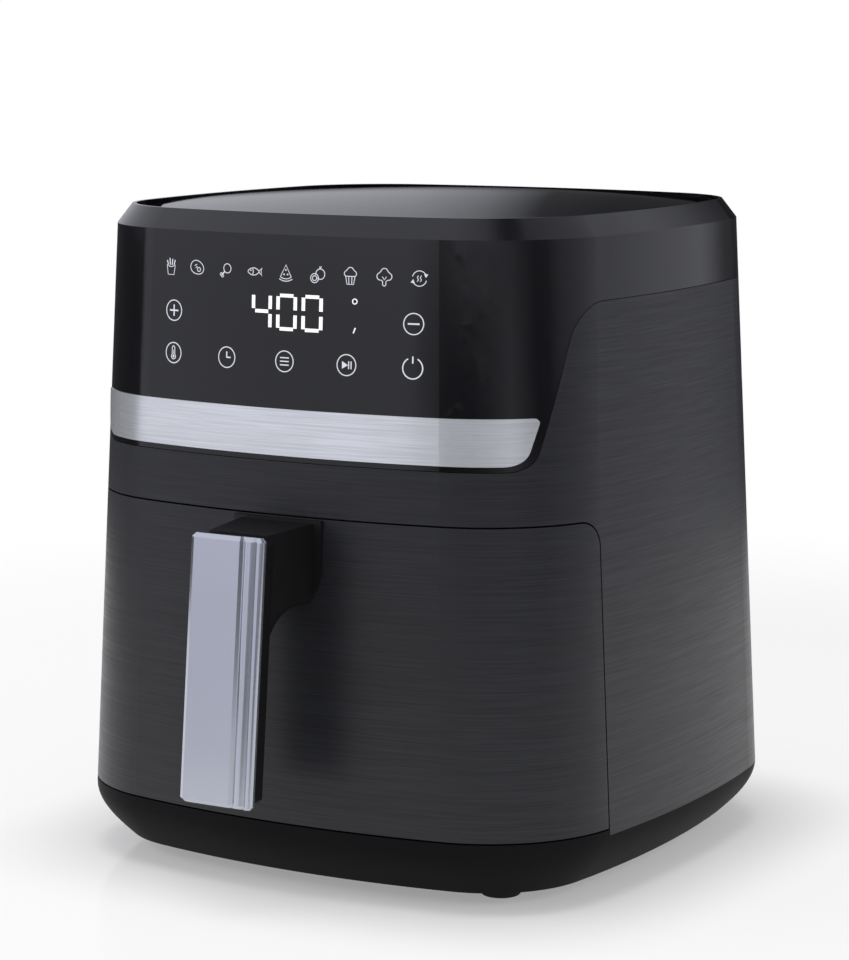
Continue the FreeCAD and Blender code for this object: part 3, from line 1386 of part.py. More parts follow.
def make_handle_cover():
    top, low = grip_levels()
    cover = leaning(grip_corners(top, 0, COVER_DEPTH), top, low)
    rim = []
    for edge in cover.Edges:
        box = edge.BoundBox
        flat = box.ZMax - box.ZMin < 1e-6
        back = box.YMin > grip_front_y((box.ZMin + box.ZMax) / 2) + COVER_DEPTH - 0.01
        if flat and not back:
            rim.append(edge)
    cover = cover.makeChamfer(COVER_BEVEL, rim)
    inner_top = top - COVER_T
    core = leaning(grip_corners(inner_top, COVER_T, COVER_DEPTH + 1), inner_top, low + COVER_T)
    return cover.cut(core)


def make_handle_body():
    """Black moulding: flange on the drawer, arm, and the grip's back and core."""
    top, low = grip_levels()
    y_in = front_surface(0, DRAWER_Z1, 0) + 2 * WALL
    under = top - ARM_HEIGHT
    seat_top = grip_front_y(top) + COVER_DEPTH
    seat_low = grip_front_y(low + 1.0) + COVER_DEPTH
    back_low = grip_front_y(low + 1.0) + GRIP_DEPTH
    back_under = grip_front_y(under) + GRIP_DEPTH
    side = [(y_in, top + ARM_RISE, 0), (seat_top, top, 0), (seat_low, low + 1.0, 0), (back_low, low + 1.0, 0)]
    side += [(back_under, under, ARM_BLEND_R), (y_in, under, 0)]
    root = front_surface(0, under, 0)
    near = back_under
    slope = (ARM_ROOT_WIDTH - GRIP_WIDTH) / 2 / (root - near)
    wide_in = ARM_ROOT_WIDTH / 2 + slope * (y_in - root)
    narrow = GRIP_WIDTH / 2 - slope * (near - seat_low)
    plan = [(-wide_in, y_in, 0), (-narrow, seat_low, 0), (narrow, seat_low, 0), (wide_in, y_in, 0)]
    arm = prism_x(side, -FAR, FAR).common(prism_z(plan, low, top + ARM_HEIGHT))
    lower = []
    for edge in arm.Edges:
        mid = edge.valueAt((edge.FirstParameter + edge.LastParameter) / 2)
        outside = abs(mid.x) > GRIP_WIDTH / 4
        behind = mid.y > grip_front_y(mid.z) + GRIP_DEPTH - 0.5 and low + 1.5 < mid.z < under + 0.5
        if outside and behind and mid.y < y_in - 0.5:
            lower.append(edge)
    arm = arm.makeFillet(ARM_EDGE_R, lower)
    core_top = top - COVER_T - FIT
    core = leaning(grip_corners(core_top, COVER_T + FIT, COVER_DEPTH + 2.0), core_top, low + COVER_T + FIT)
    f_top = DRAWER_Z1 - 0.5
    half = FLANGE_WIDTH / 2
    shape = [(-half, f_top - FLANGE_HEIGHT, FLANGE_CORNER_R), (half, f_top - FLANGE_HEIGHT, FLANGE_CORNER_R)]
    shape += [(half, f_top, 0), (-half, f_top, 0)]
    flange = body(DRAWER_Z0, DRAWER_Z1, -FLANGE_T).common(prism_y(shape, -FAR, 0))
    handle = arm.fuse(core).fuse(flange)
    handle = handle.cut(body(DRAWER_Z0 - 1, DRAWER_Z1 + 5, 0))
    for x, z in handle_screw_spots():
        y0 = front_surface(0, z, 0)
        handle = handle.cut(rod_y(x, z, y0 - 13.0, 0, SCREW_D / 2 + FIT / 4))
    return handle.removeSplitter()


def make_handle_screws():
    drop = math.tan(math.radians(TUB_DRAFT))
    screws = []
    for x, z in handle_screw_spots():
        head_z = z - SCREW_HEAD_D / 2
        seat = TUB_FRONT_Y + SHEET + (TUB_RIM_Z - head_z) * drop + FIT / 2
        tip = front_surface(0, z, 0) - 12.0
        head = rod_y(x, z, seat, seat + SCREW_HEAD_H, SCREW_HEAD_D / 2)
        screws.append(head.fuse(rod_y(x, z, tip, seat, SCREW_D / 2)).removeSplitter())
    return group(screws)


# Crisper plate

def plate_half():
    """Half width and depth range of the plate inside the drafted tub."""
    drop = math.tan(math.radians(TUB_DRAFT))
    inset = SHEET + (TUB_RIM_Z - PLATE_Z) * drop + PLATE_GAP
    return TUB_X - inset, TUB_FRONT_Y + inset, TUB_BACK_Y - inset


def leg_spots():
    half, y0, y1 = plate_half()
    return [(sx * (half - PLATE_R * 0.75), y) for sx in (-1, 1) for y in (y0 + PLATE_R * 0.75, y1 - PLATE_R * 0.75)]


def make_crisper_plate():
    half, y0, y1 = plate_half()
    z1 = PLATE_Z + PLATE_T
    plate = prism_z(rect(-half, half, y0, y1, PLATE_R), PLATE_Z, z1)
    for row in range(1, PLATE_RINGS + 1):
        count = 6 * row
        for step in range(count):
            spot = polar(PLATE_RING_PITCH * row, 360.0 * step / count + 15.0 * row, 0)
            plate = plate.cut(rod(spot.x, spot.y, PLATE_Z - 1, z1 + 1, PLATE_HOLE_D / 2))
    plate = plate.cut(rod(0, CAVITY_Y, PLATE_Z - 1, z1 + 1, PLATE_EYE_D / 2))
    rim = prism_z(rect(-half, half, y0, y1, PLATE_R), z1, z1 + 3.0)
    rim = rim.cut(prism_z(rect(-half + PLATE_T, half - PLATE_T, y0 + PLATE_T, y1 - PLATE_T, PLATE_R - PLATE_T),
                          z1 - 1, z1 + 4.0))
    plate = plate.fuse(rim)
    for x, y in leg_spots():
        leg = revolve_z([(0, TUB_Z + SHEET + SLIDE_GAP, 0), (4.5, TUB_Z + SHEET + SLIDE_GAP, 1.5),
                         (5.5, PLATE_Z, 0), (0, PLATE_Z, 0)], x, y)
        plate = plate.fuse(leg)
    return plate.removeSplitter()


def make_plate_bumpers():
    """Four soft caps clipped over the plate's rim, one to a side."""
    half, y0, y1 = plate_half()
    z0 = PLATE_Z - 1.5
    z1 = z0 + BUMPER_H
    out = PLATE_GAP - SLIDE_GAP - (z1 - PLATE_Z) * 0.0
    length = BUMPER_LENGTH / 2
    slot = prism_z(rect(-half - FIT / 4, half + FIT / 4, y0 - FIT / 4, y1 + FIT / 4, PLATE_R), z0 - 1, z1 + 1)
    caps = []
    low_x = math.tan(math.radians(TUB_DRAFT)) * (PLATE_Z - z0)
    for sx in (-1, 1):
        x0 = min(sx * half, sx * (half + out - low_x))
        x1 = max(sx * half, sx * (half + out - low_x))
        cap = prism_z(rect(x0, x1, CAVITY_Y - length, CAVITY_Y + length, 1.0), z0, z1)
        caps.append(cap.cut(slot))
    for edge, side in ((y0, -1), (y1, 1)):
        y_a = min(edge, edge + side * (out - low_x))
        y_b = max(edge, edge + side * (out - low_x))
        cap = prism_z(rect(-length, length, y_a, y_b, 1.0), z0, z1)
        caps.append(cap.cut(slot))
    return group(caps)


def build():
    os.makedirs("parts", exist_ok=True)
    makers = {
        "base_tray": make_base_tray,
        "rubber_feet": make_rubber_feet,
        "base_screws": make_base_screws,
        "body_shell": make_body_shell,
        "upper_housing": make_upper_housing,
        "top_cover": make_top_cover,
        "trim_strip": make_trim_strip,
        "vent_grille": make_vent_grille,
        "cord_gland": make_cord_gland,
        "front_frame": make_front_frame,
        "cavity_floor": make_cavity_floor,
        "cavity_liner": make_cavity_liner,
        "drawer_runners": make_drawer_runners,
        "heat_reflector": make_heat_reflector,
        "fan_guard": make_fan_guard,
        "guard_screws": make_guard_screws,
        "heating_element": make_heating_element,
        "element_clips": make_element_clips,
        "element_bushes": make_element_bushes,
        "temperature_probe": make_temperature_probe,
        "thermal_cutout": make_thermal_cutout,
        "deck_pillars": make_deck_pillars,
        "mid_deck": make_mid_deck,
        "grommets": make_grommets,
        "bracket_screws": make_bracket_screws,
        "motor_bracket": make_motor_bracket,
        "motor_stator": make_motor_stator,
        "motor_coils": make_motor_coils,
        "motor_bolts": make_motor_bolts,
        "bearing_bridge": make_bearing_bridge,
        "motor_bushes": make_motor_bushes,
        "fan_shaft": make_fan_shaft,
        "motor_rotor": make_motor_rotor,
        "hot_air_fan": make_hot_air_fan,
        "cooling_fan": make_cooling_fan,
        "fan_nuts": make_fan_nuts,
        "exhaust_duct": make_exhaust_duct,
        "control_board": make_control_board,
        "board_screws": make_board_screws,
        "display_module": make_display_module,
        "touch_pads": make_touch_pads,
        "power_board": make_power_board,
        "power_components": make_power_components,
        "wire_loom": make_wire_loom,
        "drawer_switch": make_drawer_switch,
        "switch_plunger": make_switch_plunger,
        "drawer_front": make_drawer_front,
        "drawer_inner": make_drawer_inner,
        "food_tub": make_food_tub,
        "tub_screws": make_tub_screws,
        "handle_body": make_handle_body,
        "handle_cover": make_handle_cover,
        "handle_screws": make_handle_screws,
        "crisper_plate": make_crisper_plate,
        "plate_bumpers": make_plate_bumpers,
    }
    for name, maker in makers.items():
        save(name, maker())


if __name__ == "__main__":
    build()
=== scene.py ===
import math

import bmesh
import bpy
from bpy.props import FloatProperty, FloatVectorProperty, PointerProperty
from mathutils import Matrix, Vector


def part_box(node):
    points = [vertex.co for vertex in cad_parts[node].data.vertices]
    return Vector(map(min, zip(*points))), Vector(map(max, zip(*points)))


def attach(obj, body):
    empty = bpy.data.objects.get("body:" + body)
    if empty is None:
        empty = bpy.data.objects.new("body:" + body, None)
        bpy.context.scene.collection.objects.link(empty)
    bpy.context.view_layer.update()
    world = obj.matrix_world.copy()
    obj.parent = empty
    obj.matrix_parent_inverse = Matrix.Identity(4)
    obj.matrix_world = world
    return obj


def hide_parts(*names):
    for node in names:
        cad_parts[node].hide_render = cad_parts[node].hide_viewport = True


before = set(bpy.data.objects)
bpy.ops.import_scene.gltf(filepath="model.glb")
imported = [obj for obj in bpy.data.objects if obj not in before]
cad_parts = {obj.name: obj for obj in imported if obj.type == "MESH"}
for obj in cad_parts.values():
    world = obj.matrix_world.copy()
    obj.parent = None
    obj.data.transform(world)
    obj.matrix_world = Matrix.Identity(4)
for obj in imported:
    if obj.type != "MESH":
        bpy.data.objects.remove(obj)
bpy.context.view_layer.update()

bl_info = {
    "name": "Countertop Air Fryer",
    "version": (1, 0, 0),
    "blender": (4, 5, 0),
    "location": "View3D > Sidebar > Air Fryer",
    "description": "Finishes the fryer's parts, adds its grip and panel marks and sets it on a studio floor",
    "category": "Object",
}

MM = 0.001


# Shader expressions

class Wire:
    """One output of a shader tree. Arithmetic on it adds Math nodes."""

    def __init__(self, tree, socket):
        self.tree = tree
        self.socket = socket

    def math(self, operation, *others):
        values = dict(enumerate((self,) + others))
        return add_node(self.tree, "ShaderNodeMath", {"operation": operation}, values)

    def flipped(self, operation, first):
        return add_node(self.tree, "ShaderNodeMath", {"operation": operation}, {0: first, 1: self})

    def __add__(self, other):
        return self.math("ADD", other)

    def __radd__(self, other):
        return self.flipped("ADD", other)

    def __sub__(self, other):
        return self.math("SUBTRACT", other)

    def __rsub__(self, other):
        return self.flipped("SUBTRACT", other)

    def __mul__(self, other):
        return self.math("MULTIPLY", other)

    def __rmul__(self, other):
        return self.flipped("MULTIPLY", other)

    def __truediv__(self, other):
        return self.math("DIVIDE", other)

    def __rtruediv__(self, other):
        return self.flipped("DIVIDE", other)

    def band(self, low, high):
        """0 below low, 1 above high, smooth between them."""
        settings = {"interpolation_type": "SMOOTHSTEP"}
        values = {0: self, 1: low, 2: high, 3: 0.0, 4: 1.0}
        return add_node(self.tree, "ShaderNodeMapRange", settings, values)


def add_node(tree, kind, settings=None, values=None, out=0):
    """Adds a node, sets it up, fills its sockets and gives back one output."""
    node = tree.nodes.new(kind)
    for key, value in (settings or {}).items():
        if key == "stops":
            fill_ramp(node.color_ramp, value)
        else:
            setattr(node, key, value)
    for key, value in (values or {}).items():
        if isinstance(value, Wire):
            tree.links.new(value.socket, node.inputs[key])
        else:
            node.inputs[key].default_value = value
    return Wire(tree, node.outputs[out]) if len(node.outputs) else None


def axes(tree, vector):
    """The x, y and z of a vector."""
    x = add_node(tree, "ShaderNodeSeparateXYZ", None, {0: vector})
    outputs = x.socket.node.outputs
    return x, Wire(tree, outputs[1]), Wire(tree, outputs[2])


def fill_ramp(ramp, stops):
    """Sets a colour ramp's stops from pairs of place and colour."""
    while len(ramp.elements) < len(stops):
        ramp.elements.new(1.0)
    for element, (place, colour) in zip(ramp.elements, stops):
        element.position = place
        element.color = colour


def rgba(colour, gain):
    """A colour made stronger or weaker, with nothing see-through."""
    return (colour[0] * gain, colour[1] * gain, colour[2] * gain, 1.0)


class Finish:
    """A material under way: its tree and its object coordinates, until close adds the shader."""

    def __init__(self, name):
        self.material = bpy.data.materials.new(name)
        self.material.use_nodes = True
        self.tree = self.material.node_tree
        self.tree.nodes.clear()
        self.place = self.node("ShaderNodeTexCoord", out="Object")

    def node(self, kind, settings=None, values=None, out=0):
        return add_node(self.tree, kind, settings, values, out)

    def noise(self, scale, detail=2.0, rough=0.5, place=None):
        values = {"Vector": place or self.place, "Scale": scale, "Detail": detail, "Roughness": rough}
        return self.node("ShaderNodeTexNoise", {"noise_dimensions": "3D"}, values)

    def grain(self, stretch, detail=2.0, rough=0.5):
        """Noise drawn out along the axes that have the smaller figures in stretch."""
        values = {"Vector": self.place, "Scale": stretch}
        place = self.node("ShaderNodeMapping", {"vector_type": "POINT"}, values)
        return self.noise(1.0, detail, rough, place)

    def tint(self, factor, colour, low, high):
        """The colour at strength low where factor is 0, and high where it is 1."""
        values = {"Factor": factor, 6: rgba(colour, low), 7: rgba(colour, high)}
        return self.node("ShaderNodeMix", {"data_type": "RGBA"}, values, 2)

    def bump(self, height, depth, strength):
        values = {"Height": height, "Distance": depth, "Strength": strength}
        return self.node("ShaderNodeBump", None, values)

    def close(self, **sockets):
        """Adds the shader and the output, and gives back the finished material."""
        values = {key.replace("_", " "): value for key, value in sockets.items()}
        shader = self.node("ShaderNodeBsdfPrincipled", None, values)
        self.node("ShaderNodeOutputMaterial", None, {"Surface": shader})
        return self.material


# Finishes

BRUSH_LINES = 2600.0  # per metre


def brushed_streaks(finish, length):
    """Two layers of level brush lines, as values around 0.5."""
    thin = finish.grain((length, length, BRUSH_LINES), rough=0.6)
    broad = finish.grain((length * 0.5, length * 0.5, BRUSH_LINES * 0.35), detail=1.0)
    return thin * 0.8 + broad * 0.2


def make_brushed_dark(look):
    """Dark plastic with level brush lines."""
    finish = Finish("brushed_dark")
    streaks = brushed_streaks(finish, length=24.0)
    mark = streaks.band(0.38, 0.64)
    patch = finish.grain((7.0, 7.0, 5.0))
    return finish.close(
        Base_Color=finish.tint(mark, look.shell_colour, 0.70, 1.36),
        Roughness=0.39 - mark * 0.08 + (patch - 0.5) * 0.06, Metallic=0.0, Specular_IOR_Level=0.34,
        Normal=finish.bump(streaks, depth=0.00002, strength=0.4))


def make_gloss_black(look):
    """Polished plastic with faint haze and wiping marks."""
    finish = Finish("gloss_black")
    haze = finish.noise(9.0, detail=3.0, rough=0.6)
    peel = finish.noise(420.0, detail=1.0)
    scratch = finish.grain((60.0, 60.0, BRUSH_LINES)).band(0.68, 0.78)
    return finish.close(
        Base_Color=finish.tint(haze, look.gloss_colour, 0.85, 1.2),
        Roughness=0.055 + haze * 0.03 + scratch * 0.05, Specular_IOR_Level=0.5,
        Normal=finish.bump(peel, depth=0.000004, strength=0.25))


def make_brushed_silver(look):
    """Bright strip with level brush lines."""
    finish = Finish("brushed_silver")
    streaks = brushed_streaks(finish, length=26.0)
    mark = streaks.band(0.35, 0.65)
    return finish.close(
        Base_Color=finish.tint(mark, look.strip_colour, 0.86, 1.1), Metallic=0.7,
        Roughness=0.26 - mark * 0.08, Normal=finish.bump(streaks, depth=0.00003, strength=0.5))


def make_silver_paint(look):
    """Silver paint with fine flakes."""
    finish = Finish("silver_paint")
    flake = finish.noise(5200.0, detail=1.0)
    cloud = finish.noise(30.0)
    return finish.close(
        Base_Color=finish.tint(flake * 0.6 + cloud * 0.4, look.grip_colour, 0.9, 1.1), Metallic=0.9,
        Roughness=0.15 + flake * 0.06, Normal=finish.bump(flake, depth=0.00001, strength=0.2))


def make_moulded(name, colour, rough, grain=2400.0, shine=0.25):
    """Satin moulded plastic with a fine spark texture."""
    finish = Finish(name)
    spark = finish.noise(grain, rough=0.6)
    cloud = finish.noise(22.0)
    return finish.close(
        Base_Color=finish.tint(spark * 0.5 + cloud * 0.5, colour, 0.8, 1.25),
        Roughness=rough + (cloud - 0.5) * 0.1, Specular_IOR_Level=shine,
        Normal=finish.bump(spark, depth=0.00003, strength=0.6))


def make_sheet_metal(name, colour, rough, lines):
    """Rolled sheet with faint grain and handling marks."""
    finish = Finish(name)
    grain = finish.grain((lines, 40.0, 40.0), detail=3.0)
    cloud = finish.noise(35.0, detail=3.0)
    return finish.close(
        Base_Color=finish.tint(grain * 0.5 + cloud * 0.5, colour, 0.8, 1.12), Metallic=1.0,
        Roughness=rough + (cloud - 0.5) * 0.16, Normal=finish.bump(grain, depth=0.00002, strength=0.4))


def make_nonstick(look):
    """Dark coat with pale flecks."""
    finish = Finish("nonstick")
    cells = finish.node("ShaderNodeTexVoronoi", None, {"Vector": finish.place, "Scale": 700.0})
    orange = finish.noise(900.0)
    return finish.close(
        Base_Color=finish.tint(cells.band(0.10, 0.22), look.coat_colour, 2.2, 1.0), Metallic=0.15,
        Roughness=0.34 + orange * 0.12, Normal=finish.bump(orange, depth=0.00003, strength=0.5))


def make_rubber(name, colour):
    """Matt rubber with a little dust."""
    finish = Finish(name)
    dust = finish.noise(120.0, detail=4.0, rough=0.7)
    return finish.close(
        Base_Color=finish.tint(dust.band(0.45, 0.75), colour, 1.0, 1.9),
        Roughness=0.72 + dust * 0.15, Normal=finish.bump(dust, depth=0.00004, strength=0.5))


def make_ceramic(colour):
    """Unglazed, gritty ceramic."""
    finish = Finish("ceramic")
    grit = finish.noise(1500.0, detail=3.0)
    return finish.close(
        Base_Color=finish.tint(grit, colour, 0.9, 1.05), Roughness=0.7,
        Normal=finish.bump(grit, depth=0.00003, strength=0.4))


def make_winding(colour):
    """Enamelled wire laid side by side."""
    finish = Finish("winding")
    values = {"Vector": finish.place, "Scale": 900.0, "Distortion": 0.6, "Detail": 1.0}
    turns = finish.node("ShaderNodeTexWave", {"wave_type": "BANDS", "bands_direction": "Y"}, values, 1)
    return finish.close(
        Base_Color=finish.tint(turns, colour, 0.45, 1.15), Metallic=0.85, Roughness=0.32,
        Coat_Weight=0.4, Normal=finish.bump(turns, depth=0.0003, strength=0.8))


def make_lamination(colour):
    """Stacked stampings seen on edge."""
    finish = Finish("lamination")
    values = {"Vector": finish.place, "Scale": 320.0, "Distortion": 0.0}
    sheets = finish.node("ShaderNodeTexWave", {"wave_type": "BANDS", "bands_direction": "Z"}, values, 1)
    cloud = finish.noise(60.0)
    return finish.close(
        Base_Color=finish.tint(sheets * 0.7 + cloud * 0.3, colour, 0.45, 1.0), Metallic=0.9,
        Roughness=0.42, Normal=finish.bump(sheets, depth=0.0002, strength=0.7))


def make_board(colour):
    """Solder mask over copper runs."""
    finish = Finish("board_green")
    values = {"Vector": finish.place, "Scale": 260.0, "Randomness": 0.0}
    runs = finish.node("ShaderNodeTexVoronoi", {"feature": "DISTANCE_TO_EDGE"}, values)
    return finish.close(
        Base_Color=finish.tint(runs.band(0.10, 0.16), colour, 1.7, 1.0), Roughness=0.38,
        Normal=finish.bump(runs, depth=0.00003, strength=0.3))


def make_lit_print(name, colour, glow):
    """White print, lit from behind."""
    finish = Finish(name)
    tone = finish.tint(finish.noise(1800.0), colour, 0.92, 1.0)
    return finish.close(Base_Color=tone, Roughness=0.5, Emission_Color=tone, Emission_Strength=glow)


# Colour, roughness and rolling lines per metre
SHEET_METALS = {
    "sheet_steel": ((0.56, 0.56, 0.57), 0.36, 900.0),
    "plain_steel": ((0.42, 0.42, 0.43), 0.38, 300.0),
    "zinc": ((0.62, 0.62, 0.65), 0.26, 500.0),
    "bronze": ((0.48, 0.32, 0.13), 0.40, 200.0),
    "fan_aluminium": ((0.68, 0.68, 0.70), 0.33, 900.0),
}
# Colour, roughness and sparks per metre
MOULDINGS = {
    "case_black": ((0.022, 0.022, 0.025), 0.50, 2400.0),
    "pale_plastic": ((0.62, 0.62, 0.59), 0.45, 2400.0),
    "fan_plastic": ((0.030, 0.030, 0.032), 0.48, 2400.0),
    "wire_red": ((0.30, 0.030, 0.025), 0.40, 300.0),
}
RUBBERS = {"rubber": (0.014, 0.014, 0.014), "silicone": (0.035, 0.035, 0.038)}
CERAMIC = (0.80, 0.77, 0.70)
ENAMELLED_WIRE = (0.55, 0.23, 0.09)
STATOR_STEEL = (0.40, 0.40, 0.42)
SOLDER_MASK = (0.020, 0.110, 0.045)

# The CAD nodes that take each finish
NODE_FINISHES = {
    "brushed_dark": ["body_shell", "drawer_front"],
    "gloss_black": ["upper_housing", "top_cover"],
    "brushed_silver": ["trim_strip"],
    "silver_paint": ["handle_cover"],
    "base_black": ["base_tray"],
    "satin_black": ["handle_body", "drawer_inner", "front_frame", "vent_grille", "exhaust_duct"],
    "rubber": ["rubber_feet", "cord_gland", "grommets"],
    "silicone": ["plate_bumpers"],
    "sheet_steel": ["cavity_floor", "cavity_liner", "drawer_runners", "heat_reflector", "motor_bracket",
                    "bearing_bridge", "fan_guard"],
    "nonstick": ["food_tub", "crisper_plate"],
    "plain_steel": ["heating_element", "temperature_probe", "fan_shaft", "element_clips", "deck_pillars"],
    "zinc": ["base_screws", "guard_screws", "bracket_screws", "motor_bolts", "board_screws", "tub_screws",
             "handle_screws", "fan_nuts"],
    "ceramic": ["element_bushes"],
    "winding": ["motor_coils"],
    "lamination": ["motor_stator", "motor_rotor"],
    "bronze": ["motor_bushes"],
    "board_green": ["control_board", "power_board"],
    "case_black": ["power_components", "thermal_cutout", "drawer_switch", "display_module", "mid_deck"],
    "pale_plastic": ["switch_plunger", "touch_pads"],
    "fan_aluminium": ["hot_air_fan"],
    "fan_plastic": ["cooling_fan"],
    "wire_red": ["wire_loom"],
}


class FryerLook(bpy.types.PropertyGroup):
    """Colours that a user would change."""

    shell_colour: FloatVectorProperty(
        name="Brushed shell", description="Colour of the brushed dark body and drawer front",
        subtype="COLOR", size=3, min=0.0, max=1.0, default=(0.0138, 0.0142, 0.0178))
    gloss_colour: FloatVectorProperty(
        name="Gloss black", description="Colour of the upper housing and top cover",
        subtype="COLOR", size=3, min=0.0, max=1.0, default=(0.0038, 0.0039, 0.0054))
    satin_colour: FloatVectorProperty(
        name="Satin black", description="Colour of the handle core and inner mouldings",
        subtype="COLOR", size=3, min=0.0, max=1.0, default=(0.0050, 0.0050, 0.0056))
    base_colour: FloatVectorProperty(
        name="Base black", description="Colour of the drawn-in base",
        subtype="COLOR", size=3, min=0.0, max=1.0, default=(0.0062, 0.0062, 0.0070))
    strip_colour: FloatVectorProperty(
        name="Trim strip", description="Colour of the brushed strip under the panel",
        subtype="COLOR", size=3, min=0.0, max=1.0, default=(0.74, 0.76, 0.80))
    grip_colour: FloatVectorProperty(
        name="Grip cover", description="Colour of the handle's painted cover",
        subtype="COLOR", size=3, min=0.0, max=1.0, default=(0.475, 0.497, 0.565))
    coat_colour: FloatVectorProperty(
        name="Non-stick coat", description="Colour of the tub and crisper plate",
        subtype="COLOR", size=3, min=0.0, max=1.0, default=(0.020, 0.020, 0.021))
    print_colour: FloatVectorProperty(
        name="Panel print", description="Colour of the printed marks on the control panel",
        subtype="COLOR", size=3, min=0.0, max=1.0, default=(0.60, 0.61, 0.68))
    digit_colour: FloatVectorProperty(
        name="Display digits", description="Colour of the lit display digits",
        subtype="COLOR", size=3, min=0.0, max=1.0, default=(0.92, 0.93, 0.93))
    print_glow: FloatProperty(
        name="Panel glow", description="Strength of the light behind the panel's marks",
        min=0.0, max=5.0, default=0.40)


class FryerPanel(bpy.types.PropertyGroup):
    """Places and sizes of the marks on the control panel."""

    pitch: FloatProperty(
        name="Pictogram pitch", description="Distance between two food pictograms",
        unit="LENGTH", default=0.0163)
    top_row: FloatProperty(
        name="Top row", description="Height of the pictograms above the floor", unit="LENGTH", default=0.2792)
    middle_row: FloatProperty(
        name="Middle row", description="Height of the plus and minus keys", unit="LENGTH", default=0.2595)
    low_row: FloatProperty(
        name="Low row", description="Height of the lower keys", unit="LENGTH", default=0.2403)
    key_side: FloatProperty(
        name="Key side", description="Distance of the outer keys from the middle",
        unit="LENGTH", default=0.063)
    key_radius: FloatProperty(
        name="Key radius", description="Radius of a key's ring", unit="LENGTH", default=0.0046)
    thin_line: FloatProperty(
        name="Thin line", description="Line width of the pictograms", unit="LENGTH", default=0.00032)
    bold_line: FloatProperty(
        name="Bold line", description="Line width of the keys", unit="LENGTH", default=0.00046)
    digit_width: FloatProperty(
        name="Digit width", description="Width of one display digit", unit="LENGTH", default=0.0108)
    digit_height: FloatProperty(
        name="Digit height", description="Height of the display digits", unit="LENGTH", default=0.0165)
    digit_bar: FloatProperty(
        name="Digit bar", description="Width of one display segment", unit="LENGTH", default=0.0018)
    digit_pitch: FloatProperty(
        name="Digit pitch", description="Distance between two digits", unit="LENGTH", default=0.0132)
    digit_foot: FloatProperty(
        name="Digit foot", description="Height of the digits' lower edge", unit="LENGTH", default=0.2537)
    unit_column: FloatProperty(
        name="Unit column", description="Place of the unit marks beside the digits",
        unit="LENGTH", default=0.035)
    centre: FloatProperty(
        name="Centre", description="Sideways place of the marks' middle", unit="LENGTH", default=0.0015)
    pictogram_size: FloatProperty(
        name="Pictogram size", description="Scale of the pictograms", min=0.1, max=3.0, default=1.14)
    lift: FloatProperty(
        name="Print lift", description="How far the marks stand out of the panel",
        unit="LENGTH", default=0.00008)


class FryerGrip(bpy.types.PropertyGroup):
    """Sizes of the handle's grip."""

    lean: FloatProperty(
        name="Lean", description="How far the grip leans from upright",
        subtype="ANGLE", unit="ROTATION", default=math.radians(5.6))
    set_back: FloatProperty(
        name="Set back", description="Distance of the cover's face behind the grip's envelope",
        unit="LENGTH", default=0.0004)
    end_bevel: FloatProperty(
        name="End bevel", description="Bevel round the cover's two ends", unit="LENGTH", default=0.0018)


class FryerStage(bpy.types.PropertyGroup):
    """Camera, floor and light."""

    camera_place: FloatVectorProperty(
        name="Camera", description="Where the camera stands",
        subtype="TRANSLATION", unit="LENGTH", size=3, default=(0.75974, -1.28541, 0.39294))
    camera_aim: FloatVectorProperty(
        name="Aim", description="Point that the camera looks at",
        subtype="TRANSLATION", unit="LENGTH", size=3, default=(-0.00438, 0.00121, 0.17008))
    focal_length: FloatProperty(
        name="Focal length", description="Lens focal length in millimetres on a 36 mm sensor",
        min=10.0, max=400.0, default=117.85)
    floor_radius: FloatProperty(
        name="Floor radius", description="Radius of the studio floor",
        unit="LENGTH", min=0.3, max=10.0, default=1.0)
    ambient: FloatProperty(
        name="Ambient", description="Level of the room's light on matt surfaces",
        min=0.0, max=2.0, default=0.55)


class FRYER_OT_finishes(bpy.types.Operator):
    """Give every moulded, pressed and electric part its finish"""

    bl_idname = "fryer.finishes"
    bl_label = "Part finishes"

    def execute(self, context):
        look = context.scene.fryer_look
        made = {
            "brushed_dark": make_brushed_dark(look),
            "gloss_black": make_gloss_black(look),
            "brushed_silver": make_brushed_silver(look),
            "silver_paint": make_silver_paint(look),
            "satin_black": make_moulded("satin_black", look.satin_colour, rough=0.42),
            "base_black": make_moulded("base_black", look.base_colour, rough=0.55, shine=0.06),
            "panel_print": make_lit_print("panel_print", look.print_colour, look.print_glow),
            "lit_digits": make_lit_print("lit_digits", look.digit_colour, look.print_glow),
            "nonstick": make_nonstick(look),
            "ceramic": make_ceramic(CERAMIC),
            "winding": make_winding(ENAMELLED_WIRE),
            "lamination": make_lamination(STATOR_STEEL),
            "board_green": make_board(SOLDER_MASK),
        }
        made.update((name, make_sheet_metal(name, *values)) for name, values in SHEET_METALS.items())
        made.update((name, make_moulded(name, *values)) for name, values in MOULDINGS.items())
        made.update((name, make_rubber(name, colour)) for name, colour in RUBBERS.items())
        for finish, nodes in NODE_FINISHES.items():
            for node in nodes:
                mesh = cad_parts[node].data
                mesh.materials.clear()
                mesh.materials.append(made[finish])
        return {"FINISHED"}


# Stage

FLOOR_PAINT = (0.86, 0.86, 0.86, 1.0)
WHITE = (1.0, 1.0, 1.0, 1.0)
# How much white glow the floor shows beside the fryer, and what is added away from it and at the rim; the
# lower glow beside the fryer is painted shade round its base, on top of the real shadow
FLOOR_WHITE = 0.30
FAR_WHITE = 0.48
RIM_WHITE = 0.22
# Where those two set in, in metres from the floor's middle; the first follows the fryer's footprint and is
# where that painted shade fades out
PAINTED_SHADE_FADE = (0.13, 0.20)
RIM_BAND = (0.5, 0.95)


